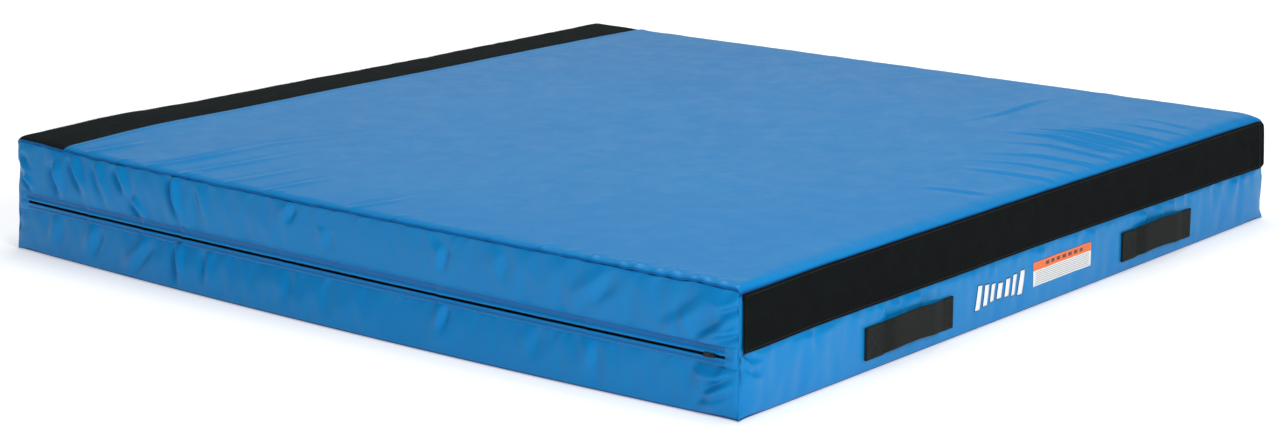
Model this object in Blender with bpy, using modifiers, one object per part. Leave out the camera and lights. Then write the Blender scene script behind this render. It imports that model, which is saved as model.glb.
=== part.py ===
"""Landing mat for a gym: layered foam in a zipped cover of coated cloth, with a hook-tape
connector flap along the front edge, a loop strip along the rear top edge and carry handles."""

import math

import bmesh
import bpy
from mathutils import Matrix

# Overall size, in metres
MAT_LENGTH = 1.524          # along X
MAT_WIDTH = 1.524           # along Y
EDGE_HEIGHT = 0.186         # seam height at the two ends
CROWN_HEIGHT = 0.200        # middle of the top
HALF_X = MAT_LENGTH / 2
HALF_Y = MAT_WIDTH / 2
GAP = 0.0003                # clearance between pieces that touch

# Cover
CLOTH = 0.002               # the coated cloth, thickened so that it stays solid
ROLL_BASE = 0.180           # height where the top sheet starts to roll over the long sides
ROLL_DEPTH = 0.022          # how far in the roll reaches
ROLL_RISE = 0.012           # how high it climbs
CROWN_RISE = CROWN_HEIGHT - ROLL_BASE - ROLL_RISE

# Foam layers
BASE_FOAM_TOP = 0.0273
SOFT_FOAM_TOP = 0.150
FOAM_HALF = 0.7594

# Zip in the left end
ZIP_Z = 0.088
ZIP_START = -0.742
ZIP_END = 0.735
SLOT_HALF = 0.007           # half the height of the slot between the two end panels
SLIT_HALF = 0.00175         # half the height of the slit between the two lips
LIP_THICK = 0.0025
LIP_OUT = 0.0028            # outer face of a lip from the end panel
UPPER_LIP_HEIGHT = 0.015
LOWER_LIP_HEIGHT = 0.011
TAPE_X = -0.7565            # outer face of the zip tapes
TAPE_THICK = 0.0008
TAPE_HEIGHT = 0.022
ROW_HALF_GAP = 0.0006       # half the space between the two rows of teeth
ROW_HEIGHT = 0.0034
ROW_THICK = 0.0024
GROOVE_DEPTH = 0.0062
GROOVE_LOW = 0.062
GROOVE_HIGH = 0.115

# Slider and its pull
SLIDER_Y = -0.721
SLIDER_LENGTH = 0.020
SLIDER_HALF = 0.0063
PIN_X = -0.7664
PULL_LENGTH = 0.017

# Connector flap
FLAP_LEFT = -0.757
FLAP_RIGHT = 0.753
FLAP_AXIS_Y = -0.7656
FLAP_AXIS_Z = 0.180
FLAP_BOTTOM = 0.098
BACKING_THICK = 0.0015
HOOK_THICK = 0.0014

# Loop strip
LOOP_INNER_Y = 0.640
LOOP_THICK = 0.002

# Handles
WEBBING = 0.002
HANDLE_LOW = 0.0215
HANDLE_HIGH = 0.0705
HANDLE_STANDOFF = 0.0095
HANDLE_LENGTH = 0.228
TAB_OUTER = 0.042
TAB_INNER = 0.026
HANDLE_X = (-0.356, 0.3775)


def clear_scene():
    for obj in list(bpy.data.objects):
        bpy.data.objects.remove(obj, do_unlink=True)
    for coll in list(bpy.data.collections):
        bpy.data.collections.remove(coll)


def new_collection(name, cutters=False):
    coll = bpy.data.collections.new(name)
    bpy.context.scene.collection.children.link(coll)
    coll.hide_render = cutters
    return coll


clear_scene()
PARTS = new_collection("landing_mat")
CUTTERS = new_collection("cutters", cutters=True)


def material(name, colour, roughness, metallic=0.0):
    mat = bpy.data.materials.new(name)
    mat.use_nodes = True
    shader = mat.node_tree.nodes["Principled BSDF"]
    shader.inputs["Base Color"].default_value = (*colour, 1.0)
    shader.inputs["Roughness"].default_value = roughness
    shader.inputs["Metallic"].default_value = metallic
    return mat


def blue_vinyl(name):
    return material(name + "_vinyl", (0.02, 0.16, 0.47), 0.38)


def black_textile(name):
    return material(name + "_textile", (0.012, 0.014, 0.014), 0.9)


def foam(name, colour):
    return material(name + "_foam", colour, 0.95)


def put(obj, mat, cutter=False):
    home = CUTTERS if cutter else PARTS
    home.objects.link(obj)
    if cutter:
        obj.hide_render = True
        obj.display_type = "WIRE"
    if mat is not None:
        obj.data.materials.append(mat)
    return obj


def box(name, x, y, z, mat, cutter=False):
    """A block between the two limits given for each axis."""
    mesh = bpy.data.meshes.new(name)
    bm = bmesh.new()
    centre = ((x[0] + x[1]) / 2, (y[0] + y[1]) / 2, (z[0] + z[1]) / 2)
    size = (x[1] - x[0], y[1] - y[0], z[1] - z[0])
    place = Matrix.Translation(centre) @ Matrix.Diagonal((*size, 1.0))
    bmesh.ops.create_cube(bm, size=1.0, matrix=place)
    bm.to_mesh(mesh)
    bm.free()
    return put(bpy.data.objects.new(name, mesh), mat, cutter)


def cylinder_z(name, x, y, z, radius, mat, cutter=False, sides=24):
    mesh = bpy.data.meshes.new(name)
    bm = bmesh.new()
    bmesh.ops.create_cone(
        bm,
        cap_ends=True,
        segments=sides,
        radius1=radius,
        radius2=radius,
        depth=z[1] - z[0],
        matrix=Matrix.Translation((x, y, (z[0] + z[1]) / 2)),
    )
    bm.to_mesh(mesh)
    bm.free()
    return put(bpy.data.objects.new(name, mesh), mat, cutter)


def extrude_outline(name, outline, low, high, axis, mat, cutter=False):
    """A closed outline swept between two positions along an axis, 0 for X, 1 for Y, 2 for Z."""
    mesh = bpy.data.meshes.new(name)
    bm = bmesh.new()

    def corner(point, along):
        values = list(point)
        values.insert(axis, along)
        return bm.verts.new(values)

    first = [corner(p, low) for p in outline]
    last = [corner(p, high) for p in outline]
    count = len(outline)
    bm.faces.new(first)
    bm.faces.new(last)
    for i in range(count):
        j = (i + 1) % count
        bm.faces.new((first[i], first[j], last[j], last[i]))
    bmesh.ops.recalc_face_normals(bm, faces=bm.faces)
    bm.to_mesh(mesh)
    bm.free()
    return put(bpy.data.objects.new(name, mesh), mat, cutter)


def boolean(target, other, operation):
    mod = target.modifiers.new(operation.lower() + "_" + other.name, "BOOLEAN")
    mod.object = other
    mod.operation = operation
    mod.solver = "EXACT"
    return mod


def bevel(obj, width, segments=2):
    mod = obj.modifiers.new("edge_radius", "BEVEL")
    mod.width = width
    mod.segments = segments
    mod.limit_method = "ANGLE"
    mod.angle_limit = math.radians(40)
    return mod


def set_origin(obj, point):
    """Moves the object's origin to a point without moving its shape."""
    obj.data.transform(Matrix.Translation([-c for c in point]))
    obj.location = point


# The top sheet: one crowned surface, which the foam below it and the strip on it follow

def end_fade(x):
    return 1.0 - abs(x / HALF_X) ** 6


def top_height(x, y, inset):
    """Height of the top surface, moved inwards by inset."""
    half = HALF_Y - inset
    roll = ROLL_DEPTH - inset
    fade = end_fade(x)
    rise = 0.006 + (ROLL_RISE - 0.006) * fade - inset
    over = max(0.0, abs(y) - (half - roll))
    rolled = rise * math.sqrt(max(0.0, 1.0 - (over / roll) ** 2))
    flat = min(1.0, abs(y) / (half - roll))
    return ROLL_BASE + rolled + CROWN_RISE * fade * (1.0 - flat ** 4)


def roll_stations(inset):
    """Y positions across the top, close together where it rolls over the long sides."""
    half = HALF_Y - inset
    roll = ROLL_DEPTH - inset
    angles = [math.radians(a) for a in (0, 22, 45, 67)]
    side = [-(half - roll) - roll * math.cos(a) for a in angles]
    inner = [-(half - roll) * f for f in (1.0, 0.93, 0.82, 0.65, 0.45, 0.22, 0.0)]
    left = side + inner
    return left + [-y for y in reversed(left[:-1])]


def x_stations(low, high):
    fractions = (0.0, 0.02, 0.06, 0.12, 0.22, 0.36, 0.5, 0.64, 0.78, 0.88, 0.94, 0.98, 1.0)
    return [low + (high - low) * f for f in fractions]


def layered(name, xs, upper, lower, mat):
    """A closed solid between two sheets of points, one list of (y, z) per X station."""
    mesh = bpy.data.meshes.new(name)
    bm = bmesh.new()
    top = [[bm.verts.new((x, y, z)) for y, z in upper(x)] for x in xs]
    low = [[bm.verts.new((x, y, z)) for y, z in lower(x)] for x in xs]
    rows, cols = len(xs), len(top[0])
    for sheet in (top, low):
        for i in range(rows - 1):
            for j in range(cols - 1):
                a, b = sheet[i][j], sheet[i + 1][j]
                c, d = sheet[i + 1][j + 1], sheet[i][j + 1]
                bm.faces.new((a, b, c, d))
    for i in range(rows - 1):
        for j in (0, cols - 1):
            bm.faces.new((top[i][j], top[i + 1][j], low[i + 1][j], low[i][j]))
    for j in range(cols - 1):
        for i in (0, rows - 1):
            bm.faces.new((top[i][j], top[i][j + 1], low[i][j + 1], low[i][j]))
    bmesh.ops.recalc_face_normals(bm, faces=bm.faces)
    bm.to_mesh(mesh)
    bm.free()
    return put(bpy.data.objects.new(name, mesh), mat)


def surface_row(x, inset, ys=None):
    ys = ys or roll_stations(inset)
    return [(y, top_height(x, y, inset)) for y in ys]


# Foam

def base_foam():
    x = (-FOAM_HALF, FOAM_HALF)
    z = (CLOTH + GAP, BASE_FOAM_TOP - GAP)
    return box("base_foam", x, x, z, foam("base", (0.55, 0.56, 0.58)))


def soft_core_foam():
    x = (-FOAM_HALF, FOAM_HALF)
    core = box("soft_core_foam", x, x, (BASE_FOAM_TOP, SOFT_FOAM_TOP), foam("core", (0.86, 0.78, 0.55)))
    groove = box(
        "zip_groove_cutter",
        (-FOAM_HALF - 0.01, -FOAM_HALF + GROOVE_DEPTH),
        (ZIP_START - 0.012, ZIP_END + 0.012),
        (GROOVE_LOW, GROOVE_HIGH),
        None,
        cutter=True,
    )
    boolean(core, groove, "DIFFERENCE")
    return core


def firm_top_foam():
    inset = CLOTH + 2 * GAP
    xs = x_stations(-FOAM_HALF, FOAM_HALF)
    ys = roll_stations(inset)
    base = SOFT_FOAM_TOP + GAP
    return layered(
        "firm_top_foam",
        xs,
        lambda x: surface_row(x, inset, ys),
        lambda x: [(y, base) for y in ys],
        foam("firm", (0.30, 0.33, 0.38)),
    )


# Cover

def bottom_panel():
    return box(
        "bottom_panel",
        (-HALF_X, HALF_X),
        (-HALF_Y, HALF_Y),
        (0.0, CLOTH),
        material("bottom_panel_vinyl", (0.02, 0.10, 0.30), 0.6),
    )


def top_panel():
    xs = x_stations(-HALF_X, HALF_X)
    return layered(
        "top_panel",
        xs,
        lambda x: surface_row(x, 0.0),
        lambda x: surface_row(x, CLOTH),
        blue_vinyl("top_panel"),
    )


def long_side_panel(name, side):
    y = sorted((side * HALF_Y, side * (HALF_Y - CLOTH)))
    return box(name, (-HALF_X, HALF_X), y, (CLOTH + GAP, ROLL_BASE - GAP), blue_vinyl(name))


def end_outline(low, high):
    """Outline of an end panel in Y and Z: its top corners drop away under the rolled edge."""
    side = HALF_Y - CLOTH - GAP
    if high < ROLL_BASE:
        return [(-side, low), (side, low), (side, high), (-side, high)]
    shoulder = HALF_Y - ROLL_DEPTH - 0.004
    return [
        (-side, low),
        (side, low),
        (side, ROLL_BASE - 0.001),
        (shoulder, high),
        (-shoulder, high),
        (-side, ROLL_BASE - 0.001),
    ]


def plain_end_panel():
    outline = end_outline(CLOTH + GAP, EDGE_HEIGHT - CLOTH - GAP)
    name = "plain_end_panel"
    return extrude_outline(name, outline, HALF_X - CLOTH, HALF_X, 0, blue_vinyl(name))


def zip_end_upper_panel():
    outline = end_outline(ZIP_Z + SLOT_HALF, EDGE_HEIGHT - CLOTH - GAP)
    name = "zip_end_upper_panel"
    return extrude_outline(name, outline, -HALF_X, -HALF_X + CLOTH, 0, blue_vinyl(name))


def zip_end_lower_panel():
    outline = end_outline(CLOTH + GAP, ZIP_Z - SLOT_HALF)
    name = "zip_end_lower_panel"
    return extrude_outline(name, outline, -HALF_X, -HALF_X + CLOTH, 0, blue_vinyl(name))


# Zip

def zip_lip(name, side):
    """One of the two folded lips that hide the zip, side +1 above the slit and -1 below it."""
    height = UPPER_LIP_HEIGHT if side > 0 else LOWER_LIP_HEIGHT
    z = sorted((ZIP_Z + side * SLIT_HALF, ZIP_Z + side * (SLIT_HALF + height)))
    x = (-HALF_X - LIP_OUT, -HALF_X - LIP_OUT + LIP_THICK)
    y = (ZIP_START - 0.004, ZIP_END + 0.004)
    lip = box(name, x, y, z, blue_vinyl(name))
    bevel(lip, 0.0006)
    return lip


def zip_tape(name, side):
    inner = ZIP_Z + side * (ROW_HALF_GAP + 0.0008)
    outer = inner + side * TAPE_HEIGHT
    x = (TAPE_X, TAPE_X + TAPE_THICK)
    return box(name, x, (ZIP_START, ZIP_END), sorted((inner, outer)), black_textile(name))


def zip_teeth(name, side):
    inner = ZIP_Z + side * ROW_HALF_GAP
    outer = inner + side * ROW_HEIGHT
    x = (TAPE_X - GAP - ROW_THICK, TAPE_X - GAP)
    y = (ZIP_START + 0.006, ZIP_END - 0.006)
    row = box(name, x, y, sorted((inner, outer)), material(name + "_nylon", (0.02, 0.02, 0.02), 0.5))
    bevel(row, 0.0005, 1)
    return row


def zip_stop(name, y):
    """Moulded block across both tapes that ends the rows of teeth."""
    x = (TAPE_X - 0.0032, TAPE_X - GAP)
    z = (ZIP_Z - 0.0045, ZIP_Z + 0.0045)
    stop = box(name, x, y, z, material(name + "_metal", (0.45, 0.45, 0.44), 0.4, 1.0))
    bevel(stop, 0.0005, 1)
    return stop


def zip_end_stay(name, y):
    """Sewn filler that closes the slot between the end panels beyond each end of the zip."""
    z = (ZIP_Z - SLOT_HALF + GAP, ZIP_Z + SLOT_HALF - GAP)
    return box(name, (-HALF_X, -HALF_X + CLOTH), y, z, blue_vinyl(name))


def zip_slider_body():
    """Front plate under the lips, back plate behind the tapes, and the thin wedge between."""
    name = "zip_slider_body"
    metal = material(name + "_metal", (0.05, 0.05, 0.055), 0.35, 0.8)
    y = (SLIDER_Y - SLIDER_LENGTH / 2, SLIDER_Y + SLIDER_LENGTH / 2)
    z = (ZIP_Z - SLIDER_HALF, ZIP_Z + SLIDER_HALF)
    front = (TAPE_X - GAP - ROW_THICK - 0.0022, TAPE_X - GAP - ROW_THICK - GAP)
    back = (TAPE_X + TAPE_THICK + GAP, TAPE_X + TAPE_THICK + GAP + 0.0014)
    body = box(name, front, y, z, metal)
    rear = box("slider_back_plate", back, y, z, None, cutter=True)
    wedge = box(
        "slider_wedge",
        (front[1] - 0.001, back[0] + 0.0005),
        (SLIDER_Y - 0.004, SLIDER_Y + 0.004),
        (ZIP_Z - 0.0003, ZIP_Z + 0.0003),
        None,
        cutter=True,
    )
    loop = box(
        "slider_loop",
        (PIN_X - 0.0021, front[1] - 0.001),
        (SLIDER_Y - 0.0035, SLIDER_Y + 0.0035),
        (ZIP_Z - 0.0014, ZIP_Z + 0.0014),
        None,
        cutter=True,
    )
    eye = cylinder_z("slider_eye", PIN_X, SLIDER_Y, (ZIP_Z - 0.01, ZIP_Z + 0.01), 0.0011, None, True)
    for piece in (rear, wedge, loop):
        boolean(body, piece, "UNION")
    boolean(body, eye, "DIFFERENCE")
    return body


def zip_pull_tab():
    """Pin through the slider's eye, an arm on each side of the loop, and the tab they carry."""
    name = "zip_pull_tab"
    metal = material(name + "_metal", (0.5, 0.52, 0.53), 0.3, 0.9)
    pin = cylinder_z(name, PIN_X, SLIDER_Y, (ZIP_Z - 0.0029, ZIP_Z + 0.0029), 0.0008, metal)
    x = (PIN_X - 0.0008, PIN_X + 0.0008)
    for side in (-1, 1):
        z = sorted((ZIP_Z + side * 0.0018, ZIP_Z + side * 0.0030))
        arm = box("pull_arm", x, (SLIDER_Y - 0.0011, SLIDER_Y + 0.0075), z, None, cutter=True)
        boolean(pin, arm, "UNION")
    z = (ZIP_Z - 0.0032, ZIP_Z + 0.0032)
    tab = box("pull_tab_plate", x, (SLIDER_Y + 0.0055, SLIDER_Y + PULL_LENGTH), z, None, cutter=True)
    boolean(pin, tab, "UNION")
    set_origin(pin, (PIN_X, SLIDER_Y, ZIP_Z))
    return pin


# Connector flap

def flap_anchor_hem():
    return box(
        "flap_anchor_hem",
        (FLAP_LEFT, FLAP_RIGHT),
        (-HALF_Y - 0.0016, -HALF_Y - GAP),
        (0.171, ROLL_BASE - GAP),
        black_textile("flap_anchor_hem"),
    )


def flap_backing():
    """Outer layer of the flap, with a round top edge on the hinge line."""
    outer = FLAP_AXIS_Y - BACKING_THICK / 2
    inner = FLAP_AXIS_Y + BACKING_THICK / 2
    radius = BACKING_THICK / 2
    outline = [(outer, FLAP_BOTTOM), (inner, FLAP_BOTTOM)]
    for step in range(7):
        angle = math.pi * step / 6
        y = FLAP_AXIS_Y + radius * math.cos(angle)
        outline.append((y, FLAP_AXIS_Z + radius * math.sin(angle)))
    mat = black_textile("flap_backing")
    flap = extrude_outline("flap_backing", outline, FLAP_LEFT, FLAP_RIGHT, 0, mat)
    set_origin(flap, (0.0, FLAP_AXIS_Y, FLAP_AXIS_Z))
    return flap


def flap_hook_tape():
    inner = FLAP_AXIS_Y + BACKING_THICK / 2 + GAP
    tape = box(
        "flap_hook_tape",
        (FLAP_LEFT + 0.004, FLAP_RIGHT - 0.004),
        (inner, inner + HOOK_THICK),
        (FLAP_BOTTOM + 0.003, 0.1695),
        black_textile("flap_hook_tape"),
    )
    set_origin(tape, (0.0, FLAP_AXIS_Y, FLAP_AXIS_Z))
    return tape


def loop_strip():
    """Strip of loop tape that lies on the rear of the top sheet and follows its roll."""
    ys = [y for y in roll_stations(0.0) if LOOP_INNER_Y + 0.01 < y < HALF_Y - 0.004]
    ys = [LOOP_INNER_Y, *ys]
    xs = x_stations(-HALF_X + 0.002, HALF_X - 0.002)
    return layered(
        "loop_strip",
        xs,
        lambda x: [(y, top_height(x, y, 0.0) + GAP + LOOP_THICK) for y in ys],
        lambda x: [(y, top_height(x, y, 0.0) + GAP) for y in ys],
        black_textile("loop_strip"),
    )


# Handles

def handle_tab(name, x, side):
    near = side * (HALF_Y + GAP)
    y = sorted((near, near + side * 2 * WEBBING))
    tab = box(name, x, y, (HANDLE_LOW, HANDLE_HIGH), black_textile(name))
    return tab


def handle_grip(name, x, side):
    """The free length of webbing, which stands off the mat in a shallow arch."""
    wall = HALF_Y + GAP
    count = 12
    arch_in = []
    arch_out = []
    for i in range(count + 1):
        t = i / count
        lift = min(1.0, 1.9 * math.sin(math.pi * t)) * HANDLE_STANDOFF
        x_at = x[0] + (x[1] - x[0]) * t
        arch_in.append((x_at, side * (wall + lift)))
        arch_out.append((x_at, side * (wall + lift + WEBBING)))
    outline = arch_in + list(reversed(arch_out))
    grip = extrude_outline(name, outline, HANDLE_LOW, HANDLE_HIGH, 2, black_textile(name))
    set_origin(grip, ((x[0] + x[1]) / 2, side * wall, (HANDLE_LOW + HANDLE_HIGH) / 2))
    return grip


def handle(prefix, centre, side):
    """Two sewn tabs and the grip between them."""
    left = centre - HANDLE_LENGTH / 2
    right = centre + HANDLE_LENGTH / 2
    grip = (left + TAB_OUTER + GAP, right - TAB_INNER - GAP)
    handle_tab(prefix + "_tab_a", (left, left + TAB_OUTER), side)
    handle_tab(prefix + "_tab_b", (right - TAB_INNER, right), side)
    handle_grip(prefix + "_grip", grip, side)


def handles():
    for side, face in ((-1, "front"), (1, "rear")):
        for centre, hand in zip(HANDLE_X, ("left", "right")):
            handle(face + "_" + hand + "_handle", centre, side)


def label_patch():
    return box(
        "label_patch",
        (-0.012, 0.163),
        (-HALF_Y - GAP - 0.0006, -HALF_Y - GAP),
        (0.0365, 0.0755),
        material("label_patch_print", (0.80, 0.80, 0.78), 0.6),
    )


def build():
    base_foam()
    soft_core_foam()
    firm_top_foam()
    bottom_panel()
    top_panel()
    long_side_panel("front_side_panel", -1)
    long_side_panel("rear_side_panel", 1)
    plain_end_panel()
    zip_end_upper_panel()
    zip_end_lower_panel()
    zip_lip("zip_upper_lip", 1)
    zip_lip("zip_lower_lip", -1)
    zip_tape("zip_upper_tape", 1)
    zip_tape("zip_lower_tape", -1)
    zip_teeth("zip_upper_teeth", 1)
    zip_teeth("zip_lower_teeth", -1)
    zip_stop("zip_top_stop", (ZIP_START + 0.0015, ZIP_START + 0.0055))
    zip_stop("zip_bottom_stop", (ZIP_END - 0.0055, ZIP_END - 0.0015))
    inner = HALF_Y - CLOTH - GAP
    zip_end_stay("zip_near_end_stay", (-inner, ZIP_START - GAP))
    zip_end_stay("zip_far_end_stay", (ZIP_END + GAP, inner))
    zip_slider_body()
    zip_pull_tab()
    flap_anchor_hem()
    flap_backing()
    flap_hook_tape()
    loop_strip()
    handles()
    label_patch()


build()
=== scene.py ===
"""Looks for a square gym landing mat: a foam block in a vinyl cover with a zip end and a connector flap.

Lengths are in metres, in the row frame: the zip end faces -X, the flap side faces -Y, up is +Z.
"""

import math

import bpy
import numpy as np
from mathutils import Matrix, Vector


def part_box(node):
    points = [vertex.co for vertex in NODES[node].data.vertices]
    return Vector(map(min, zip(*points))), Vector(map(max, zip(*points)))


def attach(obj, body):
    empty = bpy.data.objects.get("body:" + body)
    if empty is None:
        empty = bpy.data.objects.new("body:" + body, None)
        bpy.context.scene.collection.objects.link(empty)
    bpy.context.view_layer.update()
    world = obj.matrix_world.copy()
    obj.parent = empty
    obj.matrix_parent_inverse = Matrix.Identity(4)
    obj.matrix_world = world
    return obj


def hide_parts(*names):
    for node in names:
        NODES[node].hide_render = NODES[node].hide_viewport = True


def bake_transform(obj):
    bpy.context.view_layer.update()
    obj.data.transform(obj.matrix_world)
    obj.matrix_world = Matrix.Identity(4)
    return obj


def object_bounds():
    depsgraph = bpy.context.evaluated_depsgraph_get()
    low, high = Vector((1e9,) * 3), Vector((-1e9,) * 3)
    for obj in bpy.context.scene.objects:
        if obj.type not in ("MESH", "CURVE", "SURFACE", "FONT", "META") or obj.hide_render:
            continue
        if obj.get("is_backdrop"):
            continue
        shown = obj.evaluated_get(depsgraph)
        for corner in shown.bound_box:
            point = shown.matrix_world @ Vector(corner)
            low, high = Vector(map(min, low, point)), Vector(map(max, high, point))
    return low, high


for startup in ("Cube", "Light", "Camera"):
    if startup in bpy.data.objects:
        bpy.data.objects.remove(bpy.data.objects[startup], do_unlink=True)

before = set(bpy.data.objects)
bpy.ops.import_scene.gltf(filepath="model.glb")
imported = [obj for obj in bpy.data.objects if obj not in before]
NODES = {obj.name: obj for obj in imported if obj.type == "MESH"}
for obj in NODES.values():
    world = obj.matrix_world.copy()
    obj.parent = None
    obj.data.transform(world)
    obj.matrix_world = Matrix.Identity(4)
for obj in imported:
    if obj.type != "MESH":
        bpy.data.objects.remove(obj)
CAD_LOW, CAD_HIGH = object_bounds()
SCENE = bpy.context.scene
MM = 0.001

# ---------------------------------------------------------------- anchors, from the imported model
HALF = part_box("plain_end_panel")[1][0]  # half the mat's side
FLAP_LOW, FLAP_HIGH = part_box("flap_backing")
HEM_LOW, HEM_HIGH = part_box("flap_anchor_hem")
UPPER_LIP_LOW, UPPER_LIP_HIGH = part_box("zip_upper_lip")
LOWER_LIP_LOW, LOWER_LIP_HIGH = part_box("zip_lower_lip")
STRIP_LOW, STRIP_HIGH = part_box("loop_strip")
LABEL_LOW, LABEL_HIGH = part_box("label_patch")
SEAM_IN = 0.75 * MM  # how far a seam is pulled in behind the faces beside it
PLATEAU = 0.1915
CROWN = CAD_HIGH[2] - PLATEAU
BASE_SEAM = 3.2 * MM


# ---------------------------------------------------------------- small mathematics
def mm(*values):
    """Millimetres as metres."""
    return tuple(v * MM for v in values)


def smooth(t):
    t = np.clip(t, 0.0, 1.0)
    return t * t * (3.0 - 2.0 * t)


def noise(u, v, cell_u, cell_v, seed):
    """A smooth random field with a spread of about 0.6, from a seeded lattice that wraps."""
    lattice = np.random.default_rng(seed).standard_normal((97, 89))
    a, b = np.asarray(u, float) / cell_u + 40.3, np.asarray(v, float) / cell_v + 30.7
    i, j = np.floor(a).astype(int), np.floor(b).astype(int)
    fa, fb = smooth(a - i), smooth(b - j)
    n, m = lattice.shape
    low = lattice[i % n, j % m] * (1 - fa) + lattice[(i + 1) % n, j % m] * fa
    high = lattice[i % n, (j + 1) % m] * (1 - fa) + lattice[(i + 1) % n, (j + 1) % m] * fa
    return low * (1 - fb) + high * fb


def nearest(u, v, points):
    """Distance to a line of points."""
    best = np.full(np.shape(u), 1e9)
    for a, b in zip(points[:-1], points[1:]):
        d = (b[0] - a[0], b[1] - a[1])
        t = np.clip(((u - a[0]) * d[0] + (v - a[1]) * d[1]) / (d[0] ** 2 + d[1] ** 2), 0, 1)
        best = np.minimum(best, np.hypot(u - a[0] - t * d[0], v - a[1] - t * d[1]))
    return best


def fold(u, v, points, height, width, flip=1):
    """A soft fold in cloth: a ridge along a line of points with a hollow beside it, fading at its far end."""
    pts = np.array(points, float)
    chord = pts[-1] - pts[0]
    length = math.hypot(*chord)

    def local(a, b):
        """How far along the chord, from 0 to 1, and how far to its side."""
        a, b = a - pts[0][0], b - pts[0][1]
        return (a * chord[0] + b * chord[1]) / length**2, (chord[0] * b - chord[1] * a) / length

    along, off = local(u, v)
    knots, bends = local(pts[:, 0], pts[:, 1])
    x = (off - np.interp(along, knots, bends)) * flip / width
    fade = smooth((along + 0.2) / 0.35) * smooth((1.08 - along) / 0.75)
    return height * fade * (np.exp(-(x**2)) - 0.75 * np.exp(-(((x - 1.45) / 0.9) ** 2)))


def cubic(values, at):
    """Catmull-Rom along the first axis; at is in index units."""
    n = values.shape[0]
    at = np.clip(at, 0, n - 1)
    i = np.clip(np.floor(at).astype(int), 0, n - 2)
    f = (at - i).reshape((-1,) + (1,) * (values.ndim - 1))
    p0, p1 = values[np.clip(i - 1, 0, n - 1)], values[i]
    p2, p3 = values[i + 1], values[np.clip(i + 2, 0, n - 1)]
    return p1 + 0.5 * f * (p2 - p0 + f * (2 * p0 - 5 * p1 + 4 * p2 - p3 + f * (3 * (p1 - p2) + p3 - p0)))


def resample(values, rows, columns):
    """A grid of values read at fractional row and column indices."""
    return np.swapaxes(cubic(np.swapaxes(cubic(values, rows), 0, 1), columns), 0, 1)


def sample(values, rows, columns):
    """Bilinear reading of a grid at scattered fractional indices."""
    n, m = values.shape[:2]
    r, c = np.clip(rows, 0, n - 1.001), np.clip(columns, 0, m - 1.001)
    i, j = np.floor(r).astype(int), np.floor(c).astype(int)
    fr, fc = r - i, c - j
    return (values[i, j] * (1 - fr) + values[i + 1, j] * fr) * (1 - fc) + (
        values[i, j + 1] * (1 - fr) + values[i + 1, j + 1] * fr
    ) * fc


def stations(low, high, step, edge):
    """Positions from low to high, closer together by the edges, at the distances in edge."""
    inner = np.arange(low + edge[-1], high - edge[-1], step)[1:]
    first, last = low + np.array(edge), high - np.array(edge[::-1])
    gap = (last[0] - first[-1]) / (len(inner) + 1)
    middle = first[-1] + gap * np.arange(1, len(inner) + 1)
    return np.concatenate([first, middle, last])


# ---------------------------------------------------------------- materials
def new_material(name, colour, roughness=0.5):
    mat = bpy.data.materials.new(name)
    mat.use_nodes = True
    shader = mat.node_tree.nodes["Principled BSDF"]
    shader.inputs["Base Color"].default_value = (*colour, 1)
    shader.inputs["Roughness"].default_value = roughness
    return mat, mat.node_tree, shader


def srgb(text):
    """'#rrggbb' as linear red, green and blue."""
    parts = [int(text[i : i + 2], 16) / 255 for i in (1, 3, 5)]
    return tuple(c / 12.92 if c <= 0.04045 else ((c + 0.055) / 1.055) ** 2.4 for c in parts)


def add(tree, kind, **values):
    made = tree.nodes.new(kind)
    for key, value in values.items():
        if key.startswith("_"):
            setattr(made, key[1:], value)
        else:
            made.inputs[key.replace("_", " ")].default_value = value
    return made


def texture(tree, kind, scale, stretch=(1, 1, 1), **values):
    """A procedural texture in the piece's own metres; stretch scales each axis."""
    where = add(tree, "ShaderNodeTexCoord")
    move = add(tree, "ShaderNodeMapping")
    move.inputs["Scale"].default_value = stretch
    tree.links.new(where.outputs["Object"], move.inputs["Vector"])
    made = add(tree, kind, **values)
    made.inputs["Scale"].default_value = scale
    tree.links.new(move.outputs["Vector"], made.inputs["Vector"])
    return made


def spread(tree, value, low, high, out_low, out_high):
    made = add(tree, "ShaderNodeMapRange")
    made.inputs["From Min"].default_value, made.inputs["From Max"].default_value = low, high
    made.inputs["To Min"].default_value, made.inputs["To Max"].default_value = out_low, out_high
    tree.links.new(value, made.inputs["Value"])
    return made.outputs["Result"]


def blend_colours(tree, factor, first, second):
    """Mixes two colours, each a tuple or a socket, by a socket."""
    made = add(tree, "ShaderNodeMix", _data_type="RGBA")
    tree.links.new(factor, made.inputs["Factor"])
    for socket, value in ((made.inputs[6], first), (made.inputs[7], second)):
        if isinstance(value, tuple):
            socket.default_value = (*value, 1)
        else:
            tree.links.new(value, socket)
    return made.outputs[2]


def multiply(tree, first, *others):
    """The product of sockets."""
    for other in others:
        product = add(tree, "ShaderNodeMath", _operation="MULTIPLY")
        tree.links.new(first, product.inputs[0])
        tree.links.new(other, product.inputs[1])
        first = product.outputs["Value"]
    return first


def bump(tree, height, strength, distance, under=None):
    made = add(tree, "ShaderNodeBump", Strength=strength, Distance=distance)
    tree.links.new(height, made.inputs["Height"])
    if under is not None:
        tree.links.new(under, made.inputs["Normal"])
    return made.outputs["Normal"]


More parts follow.
